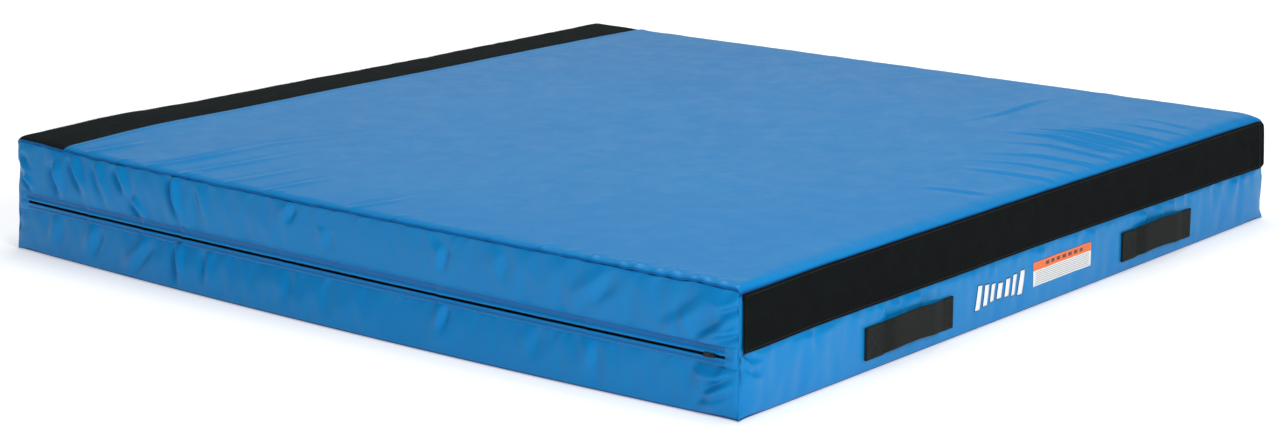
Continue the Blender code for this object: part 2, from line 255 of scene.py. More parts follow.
def vinyl(name, colour, deep, pale, rough):
    """Coated vinyl: slow colour drift, fine pebble grain over the cloth inside, and painted shade along seams
    and in the zip's recessed bands.
    """
    mat, tree, shader = new_material(name, colour)
    drift = texture(tree, "ShaderNodeTexNoise", 4.5, Detail=4.0, Roughness=0.55)
    fine = texture(tree, "ShaderNodeTexNoise", 120.0, Detail=3.0)
    scuff = texture(tree, "ShaderNodeTexNoise", 23.0, (1, 1, 2.5), Detail=6.0, Roughness=0.65)
    pebble = texture(tree, "ShaderNodeTexVoronoi", 950.0)
    ripple = texture(tree, "ShaderNodeTexNoise", 55.0, Detail=2.0)
    colours = blend_colours(tree, spread(tree, drift.outputs["Fac"], 0.30, 0.70, 0.45, 1), deep, colour)
    colours = blend_colours(tree, spread(tree, scuff.outputs["Fac"], 0.58, 0.85, 0, 0.08), colours, pale)
    colours = blend_colours(tree, spread(tree, fine.outputs["Fac"], 0.45, 0.75, 0, 0.10), colours, deep)
    # painted shade: the seam attribute darkens the colour in seam grooves and the zip's recessed bands, where
    # shade falls
    seam = add(tree, "ShaderNodeAttribute", _attribute_name="seam")
    dark = (0.0, deep[1] * 0.25, deep[2] * 0.5)
    colours = blend_colours(tree, spread(tree, seam.outputs["Fac"], 0, 1, 0, 0.65), colours, dark)
    tree.links.new(colours, shader.inputs["Base Color"])
    tree.links.new(spread(tree, scuff.outputs["Fac"], 0.3, 0.75, *rough), shader.inputs["Roughness"])
    shader.inputs["Specular IOR Level"].default_value = 0.18
    broad = bump(tree, ripple.outputs["Fac"], 0.06, 1.6 * MM)
    tree.links.new(bump(tree, pebble.outputs["Distance"], 0.10, 0.25 * MM, broad), shader.inputs["Normal"])
    return mat


def woven(name, colour, pale, pitch, axes=("X", "Z")):
    """Webbing or tape: two crossed sets of ribs with painted shade in their hollows, uneven yarn colour and a
    little lint.
    """
    mat, tree, shader = new_material(name, colour, 0.9)
    waves = []
    for axis, share in zip(axes, (1.0, 0.55)):
        wave = texture(tree, "ShaderNodeTexWave", 1.0 / (pitch * share) / math.tau * 3.1416, Distortion=0.6)
        wave.bands_direction = axis
        wave.inputs["Detail Scale"].default_value = 3.0
        waves.append(wave.outputs["Fac"])
    weave = multiply(tree, *waves)
    yarn = texture(tree, "ShaderNodeTexNoise", 260.0, Detail=4.0, Roughness=0.7)
    lint = texture(tree, "ShaderNodeTexNoise", 60.0, Detail=8.0, Roughness=0.8)
    colours = blend_colours(tree, spread(tree, yarn.outputs["Fac"], 0.35, 0.75, 0, 0.8), colour, pale)
    fluff = tuple(min(1, c * 2.2 + 0.01) for c in pale)
    colours = blend_colours(tree, spread(tree, lint.outputs["Fac"], 0.60, 0.80, 0, 0.35), colours, fluff)
    # painted shade: the colour darkens where the weave's bump dips
    deep = tuple(c * 0.4 for c in colour)
    colours = blend_colours(tree, spread(tree, weave, 0.0, 0.35, 0.6, 0.0), colours, deep)
    tree.links.new(colours, shader.inputs["Base Color"])
    shader.inputs["Sheen Weight"].default_value = 0.03
    shader.inputs["Sheen Roughness"].default_value = 0.5
    shader.inputs["Specular IOR Level"].default_value = 0.15
    rough_bump = bump(tree, yarn.outputs["Fac"], 0.5, 0.15 * MM)
    tree.links.new(bump(tree, weave, 0.8, 0.35 * MM, rough_bump), shader.inputs["Normal"])
    return mat


def pile(name, colour, pale, scale):
    """Hook or loop tape and brushed cloth: a dense field of tiny tufts."""
    mat, tree, shader = new_material(name, colour, 0.95)
    tufts = texture(tree, "ShaderNodeTexVoronoi", scale)
    lay = texture(tree, "ShaderNodeTexNoise", 38.0, Detail=5.0, Roughness=0.7)
    colours = blend_colours(tree, spread(tree, lay.outputs["Fac"], 0.35, 0.75, 0, 1), colour, pale)
    deep = tuple(c * 0.5 for c in colour)
    colours = blend_colours(tree, spread(tree, tufts.outputs["Distance"], 0.2, 0.8, 0, 0.6), colours, deep)
    tree.links.new(colours, shader.inputs["Base Color"])
    shader.inputs["Sheen Weight"].default_value = 0.015
    shader.inputs["Sheen Roughness"].default_value = 0.6
    shader.inputs["Specular IOR Level"].default_value = 0.06
    lay_bump = bump(tree, lay.outputs["Fac"], 0.35, 0.8 * MM)
    tree.links.new(bump(tree, tufts.outputs["Distance"], 0.7, 0.3 * MM, lay_bump), shader.inputs["Normal"])
    return mat


def foam(name, colour, pale, cell):
    """Open-cell foam, seen only if the cover is opened."""
    mat, tree, shader = new_material(name, colour, 0.95)
    cells = texture(tree, "ShaderNodeTexVoronoi", cell)
    drift = texture(tree, "ShaderNodeTexNoise", 9.0, Detail=4.0)
    colours = blend_colours(tree, spread(tree, drift.outputs["Fac"], 0.35, 0.65, 0, 1), colour, pale)
    tree.links.new(colours, shader.inputs["Base Color"])
    tree.links.new(bump(tree, cells.outputs["Distance"], 0.8, 0.8 * MM), shader.inputs["Normal"])
    return mat


def metal(name, colour, pale, roughness):
    """Die-cast zip metal with worn paint on its high spots."""
    mat, tree, shader = new_material(name, colour, roughness)
    worn = texture(tree, "ShaderNodeTexNoise", 900.0, Detail=5.0)
    colours = blend_colours(tree, spread(tree, worn.outputs["Fac"], 0.4, 0.7, 0, 1), colour, pale)
    tree.links.new(colours, shader.inputs["Base Color"])
    tree.links.new(
        spread(tree, worn.outputs["Fac"], 0.3, 0.7, roughness, roughness + 0.2), shader.inputs["Roughness"]
    )
    shader.inputs["Metallic"].default_value = 0.4
    tree.links.new(bump(tree, worn.outputs["Fac"], 0.2, 0.05 * MM), shader.inputs["Normal"])
    return mat


def plastic(name, colour, pale, roughness):
    """Moulded nylon for the zip's teeth and the sewing thread."""
    mat, tree, shader = new_material(name, colour, roughness)
    mottle = texture(tree, "ShaderNodeTexNoise", 700.0, Detail=3.0)
    colours = blend_colours(tree, spread(tree, mottle.outputs["Fac"], 0.35, 0.7, 0, 1), colour, pale)
    tree.links.new(colours, shader.inputs["Base Color"])
    tree.links.new(bump(tree, mottle.outputs["Fac"], 0.25, 0.08 * MM), shader.inputs["Normal"])
    return mat


def between(tree, value, low, high, soft=0.00015):
    """1 where a socket's value lies between low and high."""
    up = spread(tree, value, low - soft, low + soft, 0, 1)
    down = spread(tree, value, high - soft, high + soft, 1, 0)
    return multiply(tree, up, down)


def printed_label(name):
    """A generic care label: an orange head with a dashed bar, and grey rules on white."""
    mat, tree, shader = new_material(name, srgb("#eeeeea"), 0.42)
    where = add(tree, "ShaderNodeTexCoord")
    split = add(tree, "ShaderNodeSeparateXYZ")
    tree.links.new(where.outputs["Object"], split.inputs["Vector"])
    x, z = split.outputs["X"], split.outputs["Z"]
    x0, x1, z0, z1 = LABEL_LOW[0], LABEL_HIGH[0], LABEL_LOW[2], LABEL_HIGH[2]
    head = z1 - 0.36 * (z1 - z0)

    def stripes(value, start, pitch, share):
        """1 on evenly spaced bars along a socket's value."""
        shifted = add(tree, "ShaderNodeMath", _operation="SUBTRACT")
        shifted.inputs[1].default_value = start
        tree.links.new(value, shifted.inputs[0])
        cycle = add(tree, "ShaderNodeMath", _operation="MODULO")
        cycle.inputs[1].default_value = pitch
        tree.links.new(shifted.outputs["Value"], cycle.inputs[0])
        return between(tree, cycle.outputs["Value"], 0.0, pitch * share, pitch * 0.04)

    paper = texture(tree, "ShaderNodeTexNoise", 180.0, Detail=4.0)
    white = blend_colours(tree, paper.outputs["Fac"], srgb("#f4f4f2"), srgb("#dcdddd"))
    inset = 0.006
    rules = multiply(
        tree,
        stripes(z, z0 + 0.0028, 0.0031, 0.42),
        between(tree, z, z0 + 0.002, head - 0.0015),
        between(tree, x, x0 + inset, x1 - inset),
    )
    colours = blend_colours(tree, spread(tree, rules, 0, 1, 0, 0.72), white, srgb("#7d8288"))
    colours = blend_colours(tree, between(tree, z, head, z1 + 0.01), colours, srgb("#ee6a1e"))
    dashes = multiply(
        tree,
        stripes(x, x0 + 0.036, 0.0172, 0.62),
        between(tree, x, x0 + 0.036, x1 - 0.018),
        between(tree, z, head + 0.0042, z1 - 0.0042),
    )
    colours = blend_colours(tree, spread(tree, dashes, 0, 1, 0, 0.9), colours, srgb("#2a1c14"))
    tree.links.new(colours, shader.inputs["Base Color"])
    grain = texture(tree, "ShaderNodeTexNoise", 420.0, Detail=3.0)
    tree.links.new(bump(tree, grain.outputs["Fac"], 0.2, 0.15 * MM), shader.inputs["Normal"])
    return mat


VINYL = vinyl("blue_vinyl", srgb("#0680c2"), srgb("#0379bb"), srgb("#2a8dc8"), (0.30, 0.42))
VINYL_BOTTOM = vinyl("bottom_vinyl", srgb("#2a5f9c"), srgb("#1e4f8a"), srgb("#4a7cb0"), (0.5, 0.65))
FLAP_CLOTH = pile("black_flap_cloth", srgb("#070b0c"), srgb("#0f1516"), 700.0)
LOOP_PILE = pile("black_loop_pile", srgb("#101616"), srgb("#1b2323"), 520.0)
WEBBING = woven("black_webbing", srgb("#191e1b"), srgb("#2b312d"), 1.7 * MM)
ZIP_TAPE = woven("zip_tape_weave", srgb("#101216"), srgb("#20242a"), 0.9 * MM, ("Y", "Z"))
ZIP_NYLON = plastic("zip_nylon_teeth", srgb("#0c0e12"), srgb("#1c2026"), 0.45)
ZIP_METAL = metal("zip_slider_metal", srgb("#0a0c0f"), srgb("#202428"), 0.42)
LABEL_PRINT = printed_label("label_print_generic")
BLUE_THREAD = plastic("blue_thread", srgb("#1c62a6"), srgb("#3f86c4"), 0.6)
BLACK_THREAD = plastic("black_thread", srgb("#141716"), srgb("#353b39"), 0.7)
WHITE_THREAD = plastic("white_thread", srgb("#d8d8d4"), srgb("#f0f0ee"), 0.7)
WHITE_INK = plastic("white_print_ink", srgb("#e6eaec"), srgb("#f6f8f8"), 0.42)
DARK_INK = plastic("dark_print_ink", srgb("#14304e"), srgb("#1b3c60"), 0.42)
FOAM_FIRM = foam("firm_foam", srgb("#d9d2b8"), srgb("#e6dfc8"), 900.0)
FOAM_SOFT = foam("soft_foam", srgb("#cfd3d6"), srgb("#dfe2e4"), 650.0)
FOAM_BASE = foam("base_foam_cells", srgb("#c9bfa6"), srgb("#d8cfb8"), 800.0)


# ---------------------------------------------------------------- mesh building
def lean(points):
    """Two opposite corners lean: base kicked out, top pulled in. All four waver with height."""
    p = np.array(points, float)
    weight = smooth(
        (-p[..., 0] - (HALF - 0.30)) / 0.30
    ) * smooth((p[..., 1] - (HALF - 0.16)) / 0.16)  # rear, zip end
    p[..., 1] += weight * (11.0 * MM - 14.5 * MM * np.clip(p[..., 2] / 0.186, 0, 1))
    weight = smooth((p[..., 0] - (HALF - 0.25)) / 0.25) * smooth(
        (-p[..., 1] - (HALF - 0.25)) / 0.25
    )  # front, plain end
    p[..., 0] += weight * MM * np.interp(p[..., 2], (0, 0.02, 0.05, 0.09, 0.186), (9.5, 4.5, 0, 1, -3.5))
    away = np.maximum(HALF - np.abs(p[..., 0]), HALF - np.abs(p[..., 1]))
    which = np.sign(p[..., 0]) * 0.31 + np.sign(p[..., 1]) * 0.77
    waver = np.clip(0.9 + 1.5 * noise(p[..., 2], which, 0.019, 0.1, 97), 0, 2.4) * MM
    pull = np.exp(-np.clip(away, 0, 1) / (7 * MM)) * waver
    pull = pull * smooth(p[..., 2] / 0.02) * smooth((0.187 - p[..., 2]) / 0.02)
    p[..., 0] -= np.sign(p[..., 0]) * pull
    p[..., 1] -= np.sign(p[..., 1]) * pull
    return p


def make(name, points, faces, material, body="mat", warp=True, flat=()):
    """A smooth-shaded piece that rides on a body. flat lists face indices shaded flat, with sharp rims."""
    points = lean(points) if warp else np.asarray(points, float)
    mesh = bpy.data.meshes.new(name)
    mesh.from_pydata(points.reshape(-1, 3).tolist(), [], [tuple(map(int, f)) for f in faces])
    mesh.update()
    mesh.polygons.foreach_set("use_smooth", np.ones(len(mesh.polygons), bool))
    if len(flat):
        keys = set()
        for index in flat:
            mesh.polygons[index].use_smooth = False
            keys.update(mesh.polygons[index].edge_keys)
        for edge in mesh.edges:
            if edge.key in keys:
                edge.use_edge_sharp = True
    mesh.materials.append(material)
    obj = bpy.data.objects.new(name, mesh)
    SCENE.collection.objects.link(obj)
    if body:
        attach(obj, body)
    return obj


def quads(n, m, flip=False):
    index = np.arange(n * m).reshape(n, m)
    a, b, c, d = index[:-1, :-1], index[1:, :-1], index[1:, 1:], index[:-1, 1:]
    order = (a, d, c, b) if flip else (a, b, c, d)
    return np.stack([q.ravel() for q in order], 1)


def cloth_sheet(
    name, grid, flip, seam, material, thickness=0.8 * MM, levels=1, body="mat", offset=-1.0, warp=True
):
    """A grid of points as a thin closed sheet. seam is 0 to 1 at each point, for painted shade in seams and
    creases.
    """
    n, m = grid.shape[:2]
    obj = make(name, grid.reshape(-1, 3), quads(n, m, flip), material, body, warp)
    if seam is not None:
        # the seam attribute holds the painted shade that the vinyl material mixes into its colour
        layer = obj.data.attributes.new("seam", "FLOAT", "POINT")
        layer.data.foreach_set("value", np.clip(seam, 0, 1).astype(np.float32).ravel())
    solid = obj.modifiers.new("thickness", "SOLIDIFY")
    solid.thickness, solid.offset, solid.use_even_offset = thickness, offset, False
    if levels:
        sub = obj.modifiers.new("smooth", "SUBSURF")
        sub.levels = sub.render_levels = levels
        sub.boundary_smooth = "PRESERVE_CORNERS"
    return obj


def sweep(name, centre, side, out, ring, material, body="mat", warp=True):
    """A ring of (sideways, outward) offsets swept along centre, closed by flat ends."""
    centre, ring = np.asarray(centre, float), np.asarray(ring, float)
    side, out = np.broadcast_to(side, centre.shape), np.broadcast_to(out, centre.shape)
    points = centre[:, None] + ring[None, :, :1] * side[:, None] + ring[None, :, 1:] * out[:, None]
    n, k = points.shape[:2]
    index = np.arange(n * k).reshape(n, k)
    following = np.roll(index, -1, 1)
    faces = np.stack([index[:-1], following[:-1], following[1:], index[1:]], -1).reshape(-1, 4).tolist()
    faces += [index[0][::-1].tolist(), index[-1].tolist()]
    return make(
        name, points.reshape(-1, 3), faces, material, body, warp, (len(faces) - 2, len(faces) - 1)
    )


def tape_ring(width, thickness, count=12):
    """A flat tape's outline with rounded, slightly beaded edges."""
    half, t = width / 2 - thickness / 2, thickness / 2
    across = np.linspace(-half, half, count + 1)
    bead = 1 + 0.14 * np.exp(-((half - np.abs(across)) / (1.2 * thickness)) ** 2)
    turn = np.radians([60, 20, -20, -60])
    right = np.stack([half + t * np.cos(turn), 1.1 * t * np.sin(turn)], 1)
    upper, lower = np.stack([across, t * bead], 1), np.stack([across[::-1], -t * bead[::-1]], 1)
    return np.concatenate([upper, right, lower, -right])


def along_line(points, pitch):
    """Positions every pitch along a dense polyline, with unit directions."""
    points = np.asarray(points, float)
    gone = np.concatenate([[0], np.cumsum(np.linalg.norm(np.diff(points, axis=0), axis=1))])
    at = np.arange(pitch / 2, gone[-1], pitch)
    here = np.stack([np.interp(at, gone, points[:, k]) for k in range(3)], 1)
    ahead = np.stack([np.interp(at + pitch * 0.3, gone, points[:, k]) for k in range(3)], 1)
    behind = np.stack([np.interp(at - pitch * 0.3, gone, points[:, k]) for k in range(3)], 1)
    direction = ahead - behind
    return here, direction / np.maximum(np.linalg.norm(direction, axis=1), 1e-9)[:, None]


def stitches(
    name,
    runs,
    outward,
    material,
    body="mat",
    pitch=3.4 * MM,
    length=2.5 * MM,
    radius=0.38 * MM,
    warp=True,
):
    """Rows of raised thread stitches along polylines that lie on the cloth."""
    outward = np.asarray(outward, float)
    verts, faces, count = [], [], 0
    turn = np.arange(6) * math.tau / 6
    for run in runs:
        here, direction = along_line(run, pitch)
        across = np.cross(direction, outward)
        across /= np.linalg.norm(across, axis=1)[:, None]
        rings = []
        for shift, size, rise in (
            (-0.5, 0.45, -0.9), (-0.28, 0.95, 0.25), (0.28, 0.95, 0.25), (0.5, 0.45, -0.9)
        ):
            centre = here + direction * shift * length + outward * rise * radius
            ring = (
                centre[:, None]
                + across[:, None] * (np.cos(turn) * size * radius)[None, :, None]
                + outward * (np.sin(turn) * size * radius)[None, :, None]
            )
            rings.append(ring)
        block = np.stack(rings, 1)  # stitch, ring, point, xyz
        total = len(here)
        index = count + np.arange(total * 24).reshape(total, 4, 6)
        nxt = np.roll(index, -1, 2)
        faces += np.stack([index[:, :-1], nxt[:, :-1], nxt[:, 1:], index[:, 1:]], -1).reshape(-1, 4).tolist()
        faces += index[:, 0, ::-1].tolist() + index[:, 3].tolist()
        verts.append(block.reshape(-1, 3))
        count += total * 24
    return make(name, np.concatenate(verts), faces, material, body, warp)


# ---------------------------------------------------------------- cloth simulation
CLOTHS = {}


def add_cloth(key, points, pin, slack, amount, pressure, tension=40.0, bending=14.0):
    """Sets up a cloth for settle().

    pin and slack are 0 to 1 at each point; amount is the most spare cloth, as a share.
    """
    n, m = points.shape[:2]
    mesh = bpy.data.meshes.new(f"cloth_{key}")
    mesh.from_pydata(points.reshape(-1, 3).tolist(), [], quads(n, m).tolist())
    obj = bpy.data.objects.new(f"cloth_{key}", mesh)
    SCENE.collection.objects.link(obj)
    sewn, tight = obj.vertex_groups.new(name="sewn"), obj.vertex_groups.new(name="tight")
    for index, (hold, spare) in enumerate(zip(pin.ravel().tolist(), slack.ravel().tolist())):
        if hold > 0:
            sewn.add([index], hold, "REPLACE")
        tight.add([index], 1.0 - min(1.0, max(0.0, spare)), "REPLACE")
    modifier = obj.modifiers.new("Cloth", "CLOTH")
    cloth = modifier.settings
    cloth.quality = 6
    cloth.mass = 0.1
    cloth.tension_stiffness = cloth.compression_stiffness = tension
    cloth.shear_stiffness, cloth.bending_stiffness = 8.0, bending
    cloth.effector_weights.gravity = 0.0
    cloth.use_pressure, cloth.uniform_pressure_force = True, pressure
    cloth.vertex_group_mass = "sewn"
    cloth.shrink_min, cloth.shrink_max = -amount, -0.0005
    cloth.vertex_group_shrink = "tight"
    modifier.collision_settings.use_collision = False
    modifier.point_cache.frame_start, modifier.point_cache.frame_end = 1, 40
    CLOTHS[key] = (obj, points)


def soften(field):
    """Takes the grid's own stepping out of a cloth's movement; its pinned edges stay put."""
    edges = field.copy()
    for axis in (0, 1, 0, 1):
        near = np.roll(field, 1, axis) + np.roll(field, -1, axis)
        field = 0.5 * field + 0.25 * near
        for rim in (0, -1):
            field[rim], field[:, rim] = edges[rim], edges[:, rim]
    return field


def settle(frames):
    """Steps every cloth together and returns how far each point moved; the cloth objects go."""
    for number in range(1, frames + 1):
        SCENE.frame_set(number)
    moved = {}
    graph = bpy.context.evaluated_depsgraph_get()
    for key, (obj, points) in CLOTHS.items():
        seen = obj.evaluated_get(graph)
        mesh = seen.to_mesh()
        flat = np.empty(len(mesh.vertices) * 3, np.float32)
        mesh.vertices.foreach_get("co", flat)
        seen.to_mesh_clear()
        moved[key] = flat.reshape(points.shape).astype(float) - points
        moved[key] = soften(moved[key])
        mesh = obj.data
        bpy.data.objects.remove(obj, do_unlink=True)
        bpy.data.meshes.remove(mesh)
    CLOTHS.clear()
    SCENE.frame_set(1)
    return moved


# Folds seen in the photo, as strokes. Each is (points, height in mm, width in mm, flip).
# On a wall a point is (along the wall, height); on the top it is (x, y). Some of these points are readings
# from the photo, put into metres by a program through the fitted camera. The rest were typed in one by one.
UPPER_FOLDS = [
    ([(0.656, 0.160), (0.648, 0.132), (0.637, 0.106)], 3.6, 11, 1),
    ([(0.612, 0.178), (0.599, 0.152), (0.574, 0.120)], 2.6, 10, 1),
    ([(0.552, 0.178), (0.540, 0.150), (0.520, 0.112)], 1.8, 10, 1),
    ([(0.500, 0.180), (0.487, 0.160), (0.470, 0.138)], 2.6, 9, 1),
    ([(0.462, 0.132), (0.448, 0.118), (0.432, 0.104)], 2.6, 8, 1),
    ([(0.364, 0.180), (0.353, 0.138), (0.342, 0.104)], 3.8, 8, 1),
    ([(0.300, 0.172), (0.292, 0.140), (0.286, 0.112)], 1.2, 12, 1),
    ([(0.098, 0.180), (0.116, 0.154)], 2.2, 9, -1),
    ([(0.738, 0.132), (0.728, 0.122), (0.716, 0.112)], 2.4, 6, 1),
    ([(0.026, 0.150), (0.034, 0.118)], 1.1, 12, -1),
    ([(-0.700, 0.106), (-0.734, 0.128), (-0.757, 0.150)], 2.6, 9, -1),
    ([(-0.640, 0.112), (-0.690, 0.146), (-0.735, 0.176)], 1.6, 13, -1),
    ([(-0.536, 0.178), (-0.500, 0.148), (-0.448, 0.119)], 1.7, 13, -1),
    ([(-0.672, 0.113), (-0.670, 0.150)], 1.0, 10, -1),
    ([(-0.757, 0.128), (-0.738, 0.121), (-0.716, 0.117)], 1.8, 5, -1),
    ([(-0.757, 0.168), (-0.738, 0.160), (-0.712, 0.158)], 1.5, 6, -1),
    ([(0.757, 0.160), (0.742, 0.146), (0.722, 0.136)], 1.5, 7, -1),
    ([(-0.217, 0.162), (-0.206, 0.119)], 1.5, 10, -1),
    ([(-0.330, 0.170), (-0.318, 0.130)], 0.9, 14, -1),
]
LOWER_FOLDS = [
    ([(0.356, 0.074), (0.349, 0.040), (0.345, 0.006)], 3.0, 9, 1),
    ([(0.286, 0.068), (0.283, 0.046), (0.280, 0.020)], 1.8, 9, 1),
    ([(0.432, 0.070), (0.462, 0.038), (0.497, 0.008)], 2.0, 12, -1),
    ([(0.566, 0.070), (0.576, 0.046), (0.592, 0.018)], 1.8, 13, -1),
    ([(0.660, 0.070), (0.668, 0.040), (0.676, 0.016)], 1.3, 13, -1),
    ([(0.120, 0.066), (0.112, 0.030)], 0.9, 14, -1),
    ([(-0.692, 0.060), (-0.726, 0.058), (-0.757, 0.076)], 2.4, 8, -1),
    ([(-0.712, 0.030), (-0.738, 0.044), (-0.757, 0.056)], 2.6, 7, -1),
    ([(-0.700, 0.012), (-0.734, 0.022), (-0.757, 0.034)], 1.5, 7, -1),
    ([(-0.499, 0.070), (-0.499, 0.022)], 1.3, 12, -1),
    ([(-0.217, 0.073), (-0.209, 0.034)], 1.9, 9, -1),
    ([(-0.390, 0.070), (-0.380, 0.030)], 0.8, 15, -1),
]
FRONT_FOLDS = [
    ([(0.330, 0.112), (0.342, 0.066)], 2.0, 8, 1),
    ([(0.378, 0.112), (0.396, 0.066)], 1.9, 7, 1),
    ([(0.430, 0.112), (0.440, 0.066)], 1.0, 9, 1),
    ([(-0.337, 0.110), (-0.324, 0.064)], 1.6, 9, 1),
    ([(-0.392, 0.108), (-0.383, 0.066)], 1.0, 9, 1),
    ([(0.006, 0.104), (0.026, 0.074)], 1.4, 10, 1),
    ([(-0.607, 0.108), (-0.603, 0.070)], 1.2, 11, 1),
    ([(-0.757, 0.088), (-0.742, 0.077), (-0.720, 0.072)], 3.0, 6, 1),
    ([(-0.757, 0.070), (-0.738, 0.058), (-0.714, 0.048)], 2.0, 8, 1),
    ([(0.650, 0.104), (0.655, 0.060)], 1.1, 13, 1),
]
TOP_FOLDS = [
    ([(0.307, -0.723), (0.337, -0.591), (0.308, -0.491)], 2.0, 13, 1),
    ([(0.366, -0.733), (0.394, -0.596), (0.361, -0.512)], 2.0, 13, 1),
    ([(0.201, -0.753), (0.195, -0.645), (0.137, -0.554)], 1.3, 15, 1),
    ([(0.066, -0.755), (0.054, -0.669), (0.025, -0.576)], 1.0, 15, 1),
    ([(0.438, -0.736), (0.449, -0.642), (0.435, -0.559)], 1.4, 13, 1),
    ([(0.505, -0.735), (0.512, -0.650), (0.498, -0.590)], 0.9, 13, 1),
    ([(-0.088, -0.720), (-0.110, -0.650), (-0.134, -0.606)], 0.8, 15, 1),
    ([(0.336, -0.728), (0.366, -0.600), (0.338, -0.515)], 1.3, 9, 1),
    ([(0.404, -0.738), (0.424, -0.625), (0.400, -0.540)], 1.3, 9, 1),
    ([(0.256, -0.742), (0.272, -0.620), (0.228, -0.520)], 1.2, 11, 1),
    ([(0.130, -0.750), (0.122, -0.655), (0.082, -0.565)], 1.0, 11, 1),
    ([(0.555, -0.728), (0.570, -0.655), (0.562, -0.600)], 0.8, 11, 1),
    ([(0.580, -0.411), (0.433, -0.420), (0.309, -0.404)], 1.5, 11, 1),
    ([(-0.757, 0.580), (-0.700, 0.566), (-0.630, 0.550)], 1.3, 14, 1),
    ([(-0.757, 0.430), (-0.700, 0.402), (-0.592, 0.379)], 1.5, 14, 1),
    ([(-0.757, 0.345), (-0.660, 0.312), (-0.530, 0.286)], 1.3, 15, 1),
    ([(-0.757, 0.245), (-0.690, 0.220), (-0.600, 0.200)], 0.9, 15, 1),
    ([(-0.757, 0.156), (-0.700, 0.140), (-0.640, 0.121)], 1.1, 13, 1),
    ([(-0.757, -0.028), (-0.700, -0.056), (-0.650, -0.070)], 1.1, 13, 1),
    ([(-0.706, 0.398), (-0.539, 0.376), (-0.376, 0.304)], 1.0, 18, 1),
    ([(0.590, 0.150), (0.700, 0.092)], 0.8, 20, 1),
    ([(0.600, -0.090), (0.705, -0.146)], 0.7, 20, 1),
]
SEAM_PUCKERS = (  # where the top puckers by the zip side's seam, and by how many mm
    (-0.722, 2.4), (-0.694, 3.8), (-0.672, 2.2), (-0.640, 4.2), (-0.612, 2.6), (-0.575, 3.6), (-0.548, 1.8), (
        -0.498, 3.0
    ),
    (-0.455, 1.8), (-0.405, 2.6), (-0.310, 2.0), (-0.120, 2.2), (0.140, 2.0), (0.330, 2.4), (0.500, 2.0),
)  # fmt: skip


def strokes(u, v, folds, gain=2.6, broad=0.95):
    total = np.zeros(np.shape(u))
    for points, height, width, flip in folds:
        total = total + fold(u, v, points, height * MM * gain, width * MM * broad, flip=flip)
    return total


def near_strokes(u, v, folds, reach):
    total = np.zeros(np.shape(u))
    for points, height, _, _ in folds:
        dist = nearest(u, v, points)
        total = np.maximum(total, min(1.0, height / 2.5) * np.exp(-((dist / reach) ** 2)))
    return total


INNER = HALF - SEAM_IN
FRONT_CLOTH_TOP = 0.118  # the front side's cloth ends here, behind the flap
ZIP_CREASE_HIGH = UPPER_LIP_HIGH[2] - 1.0 * MM
ZIP_CREASE_LOW = LOWER_LIP_LOW[2] + 1.0 * MM
# key: height span, folds, most slack, pressure, seed
WALLS = {
    "upper": ((ZIP_CREASE_HIGH, 0.185), UPPER_FOLDS, 0.016, 7.0, 3),
    "lower": ((BASE_SEAM, ZIP_CREASE_LOW), LOWER_FOLDS, 0.014, 7.0, 5),
    "front": ((BASE_SEAM, FRONT_CLOTH_TOP), FRONT_FOLDS, 0.010, 5.0, 7),
    "rear": ((BASE_SEAM, 0.178), [], 0.008, 2.5, 11),
    "end": ((BASE_SEAM, 0.185), [], 0.009, 2.5, 13),
}
SIM_STEP = 5.5 * MM
for key, ((low, high), folds, amount, pressure, seed) in WALLS.items():
    n, m = int(2 * INNER / SIM_STEP) + 1, int(round((high - low) / SIM_STEP)) + 1
    s, z = np.meshgrid(np.linspace(-INNER, INNER, n), np.linspace(low, high, m), indexing="ij")
    across = np.sin(math.pi * (z - low) / (high - low))
    start = across * (0.45 * strokes(s, z, folds) + 0.25 * MM * noise(s + 0.2 * z, z, 0.034, 0.05, seed))
    slack = 0.30 + 0.34 * noise(s + 0.3 * z, z, 0.11, 0.09, seed + 1) + 0.6 * near_strokes(s, z, folds, 0.03)
    edge = (s < -INNER + 1e-6) | (s > INNER - 1e-6) | (z < low + 1e-6) | (z > high - 1e-6)
    add_cloth(key, np.stack([start, s, z], -1), edge.astype(float), slack, amount, pressure)


def ellipse(distance, reach):
    """How far a quarter ellipse has dropped, from 0 at reach to 1 at the edge."""
    t = 1 - np.clip(distance / reach, 0, 1)
    return 1 - np.sqrt(np.maximum(0, 1 - t * t))


def flap_arc(x):
    """The front edge bows up a little, most of all nearer the zip end."""
    return smooth((x + HALF) / 0.2) * (1 - 0.7 * smooth((x + 0.1) / 0.7))


def top_height(x, y):
    """The top sheet before its folds: a low crown with rolled edges."""
    dx, dy = HALF - np.abs(x), HALF - np.abs(y)
    crown = (1 - (np.abs(x) / HALF) ** 4) * (1 - (np.abs(y) / HALF) ** 4)
    z = PLATEAU + CROWN * np.clip(crown, 0, 1)
    front, plain = y < 0, x > 0
    reach = np.where(front, 32, 15) * MM * (0.3 + 0.7 * smooth(dx / 0.14))
    drop_x = np.where(plain, 9.0, 5.5) * MM * ellipse(dx, np.where(plain, 35, 12) * MM)
    drop_y = np.where(front, 12.5 - 3.2 * flap_arc(x), 6.0) * MM * ellipse(dy, reach)
    z = z - np.hypot(drop_x, drop_y)
    z = z - 1.5 * MM * (1 - (y / HALF) ** 2) * np.exp(-(x + HALF) / 0.05)
    z = z - 10.0 * MM * smooth(1 - (HALF - x) / 0.13) * ellipse(HALF + y, 52 * MM)
    rear = smooth((y - (HALF - 0.26)) / 0.22)
    z = z + rear * (3.5 * MM * smooth((0.25 - x) / 0.5) + 5.0 * MM * np.exp(-(((x + 0.57) / 0.13) ** 2)))
    z = z + 0.45 * MM * noise(x, y, 0.021, 0.023, 25) * np.exp(-np.minimum(dx, dy) / 0.02)
    past = y - strip_edge(x)
    z = z - 3.0 * MM * smooth((past + 2 * MM) / (5 * MM)) * np.exp(-np.maximum(past, 0) / 0.035)
    return z + 1.6 * MM * np.exp(-(((past + 9 * MM) / (6 * MM)) ** 2)) * smooth(dx / 0.02)


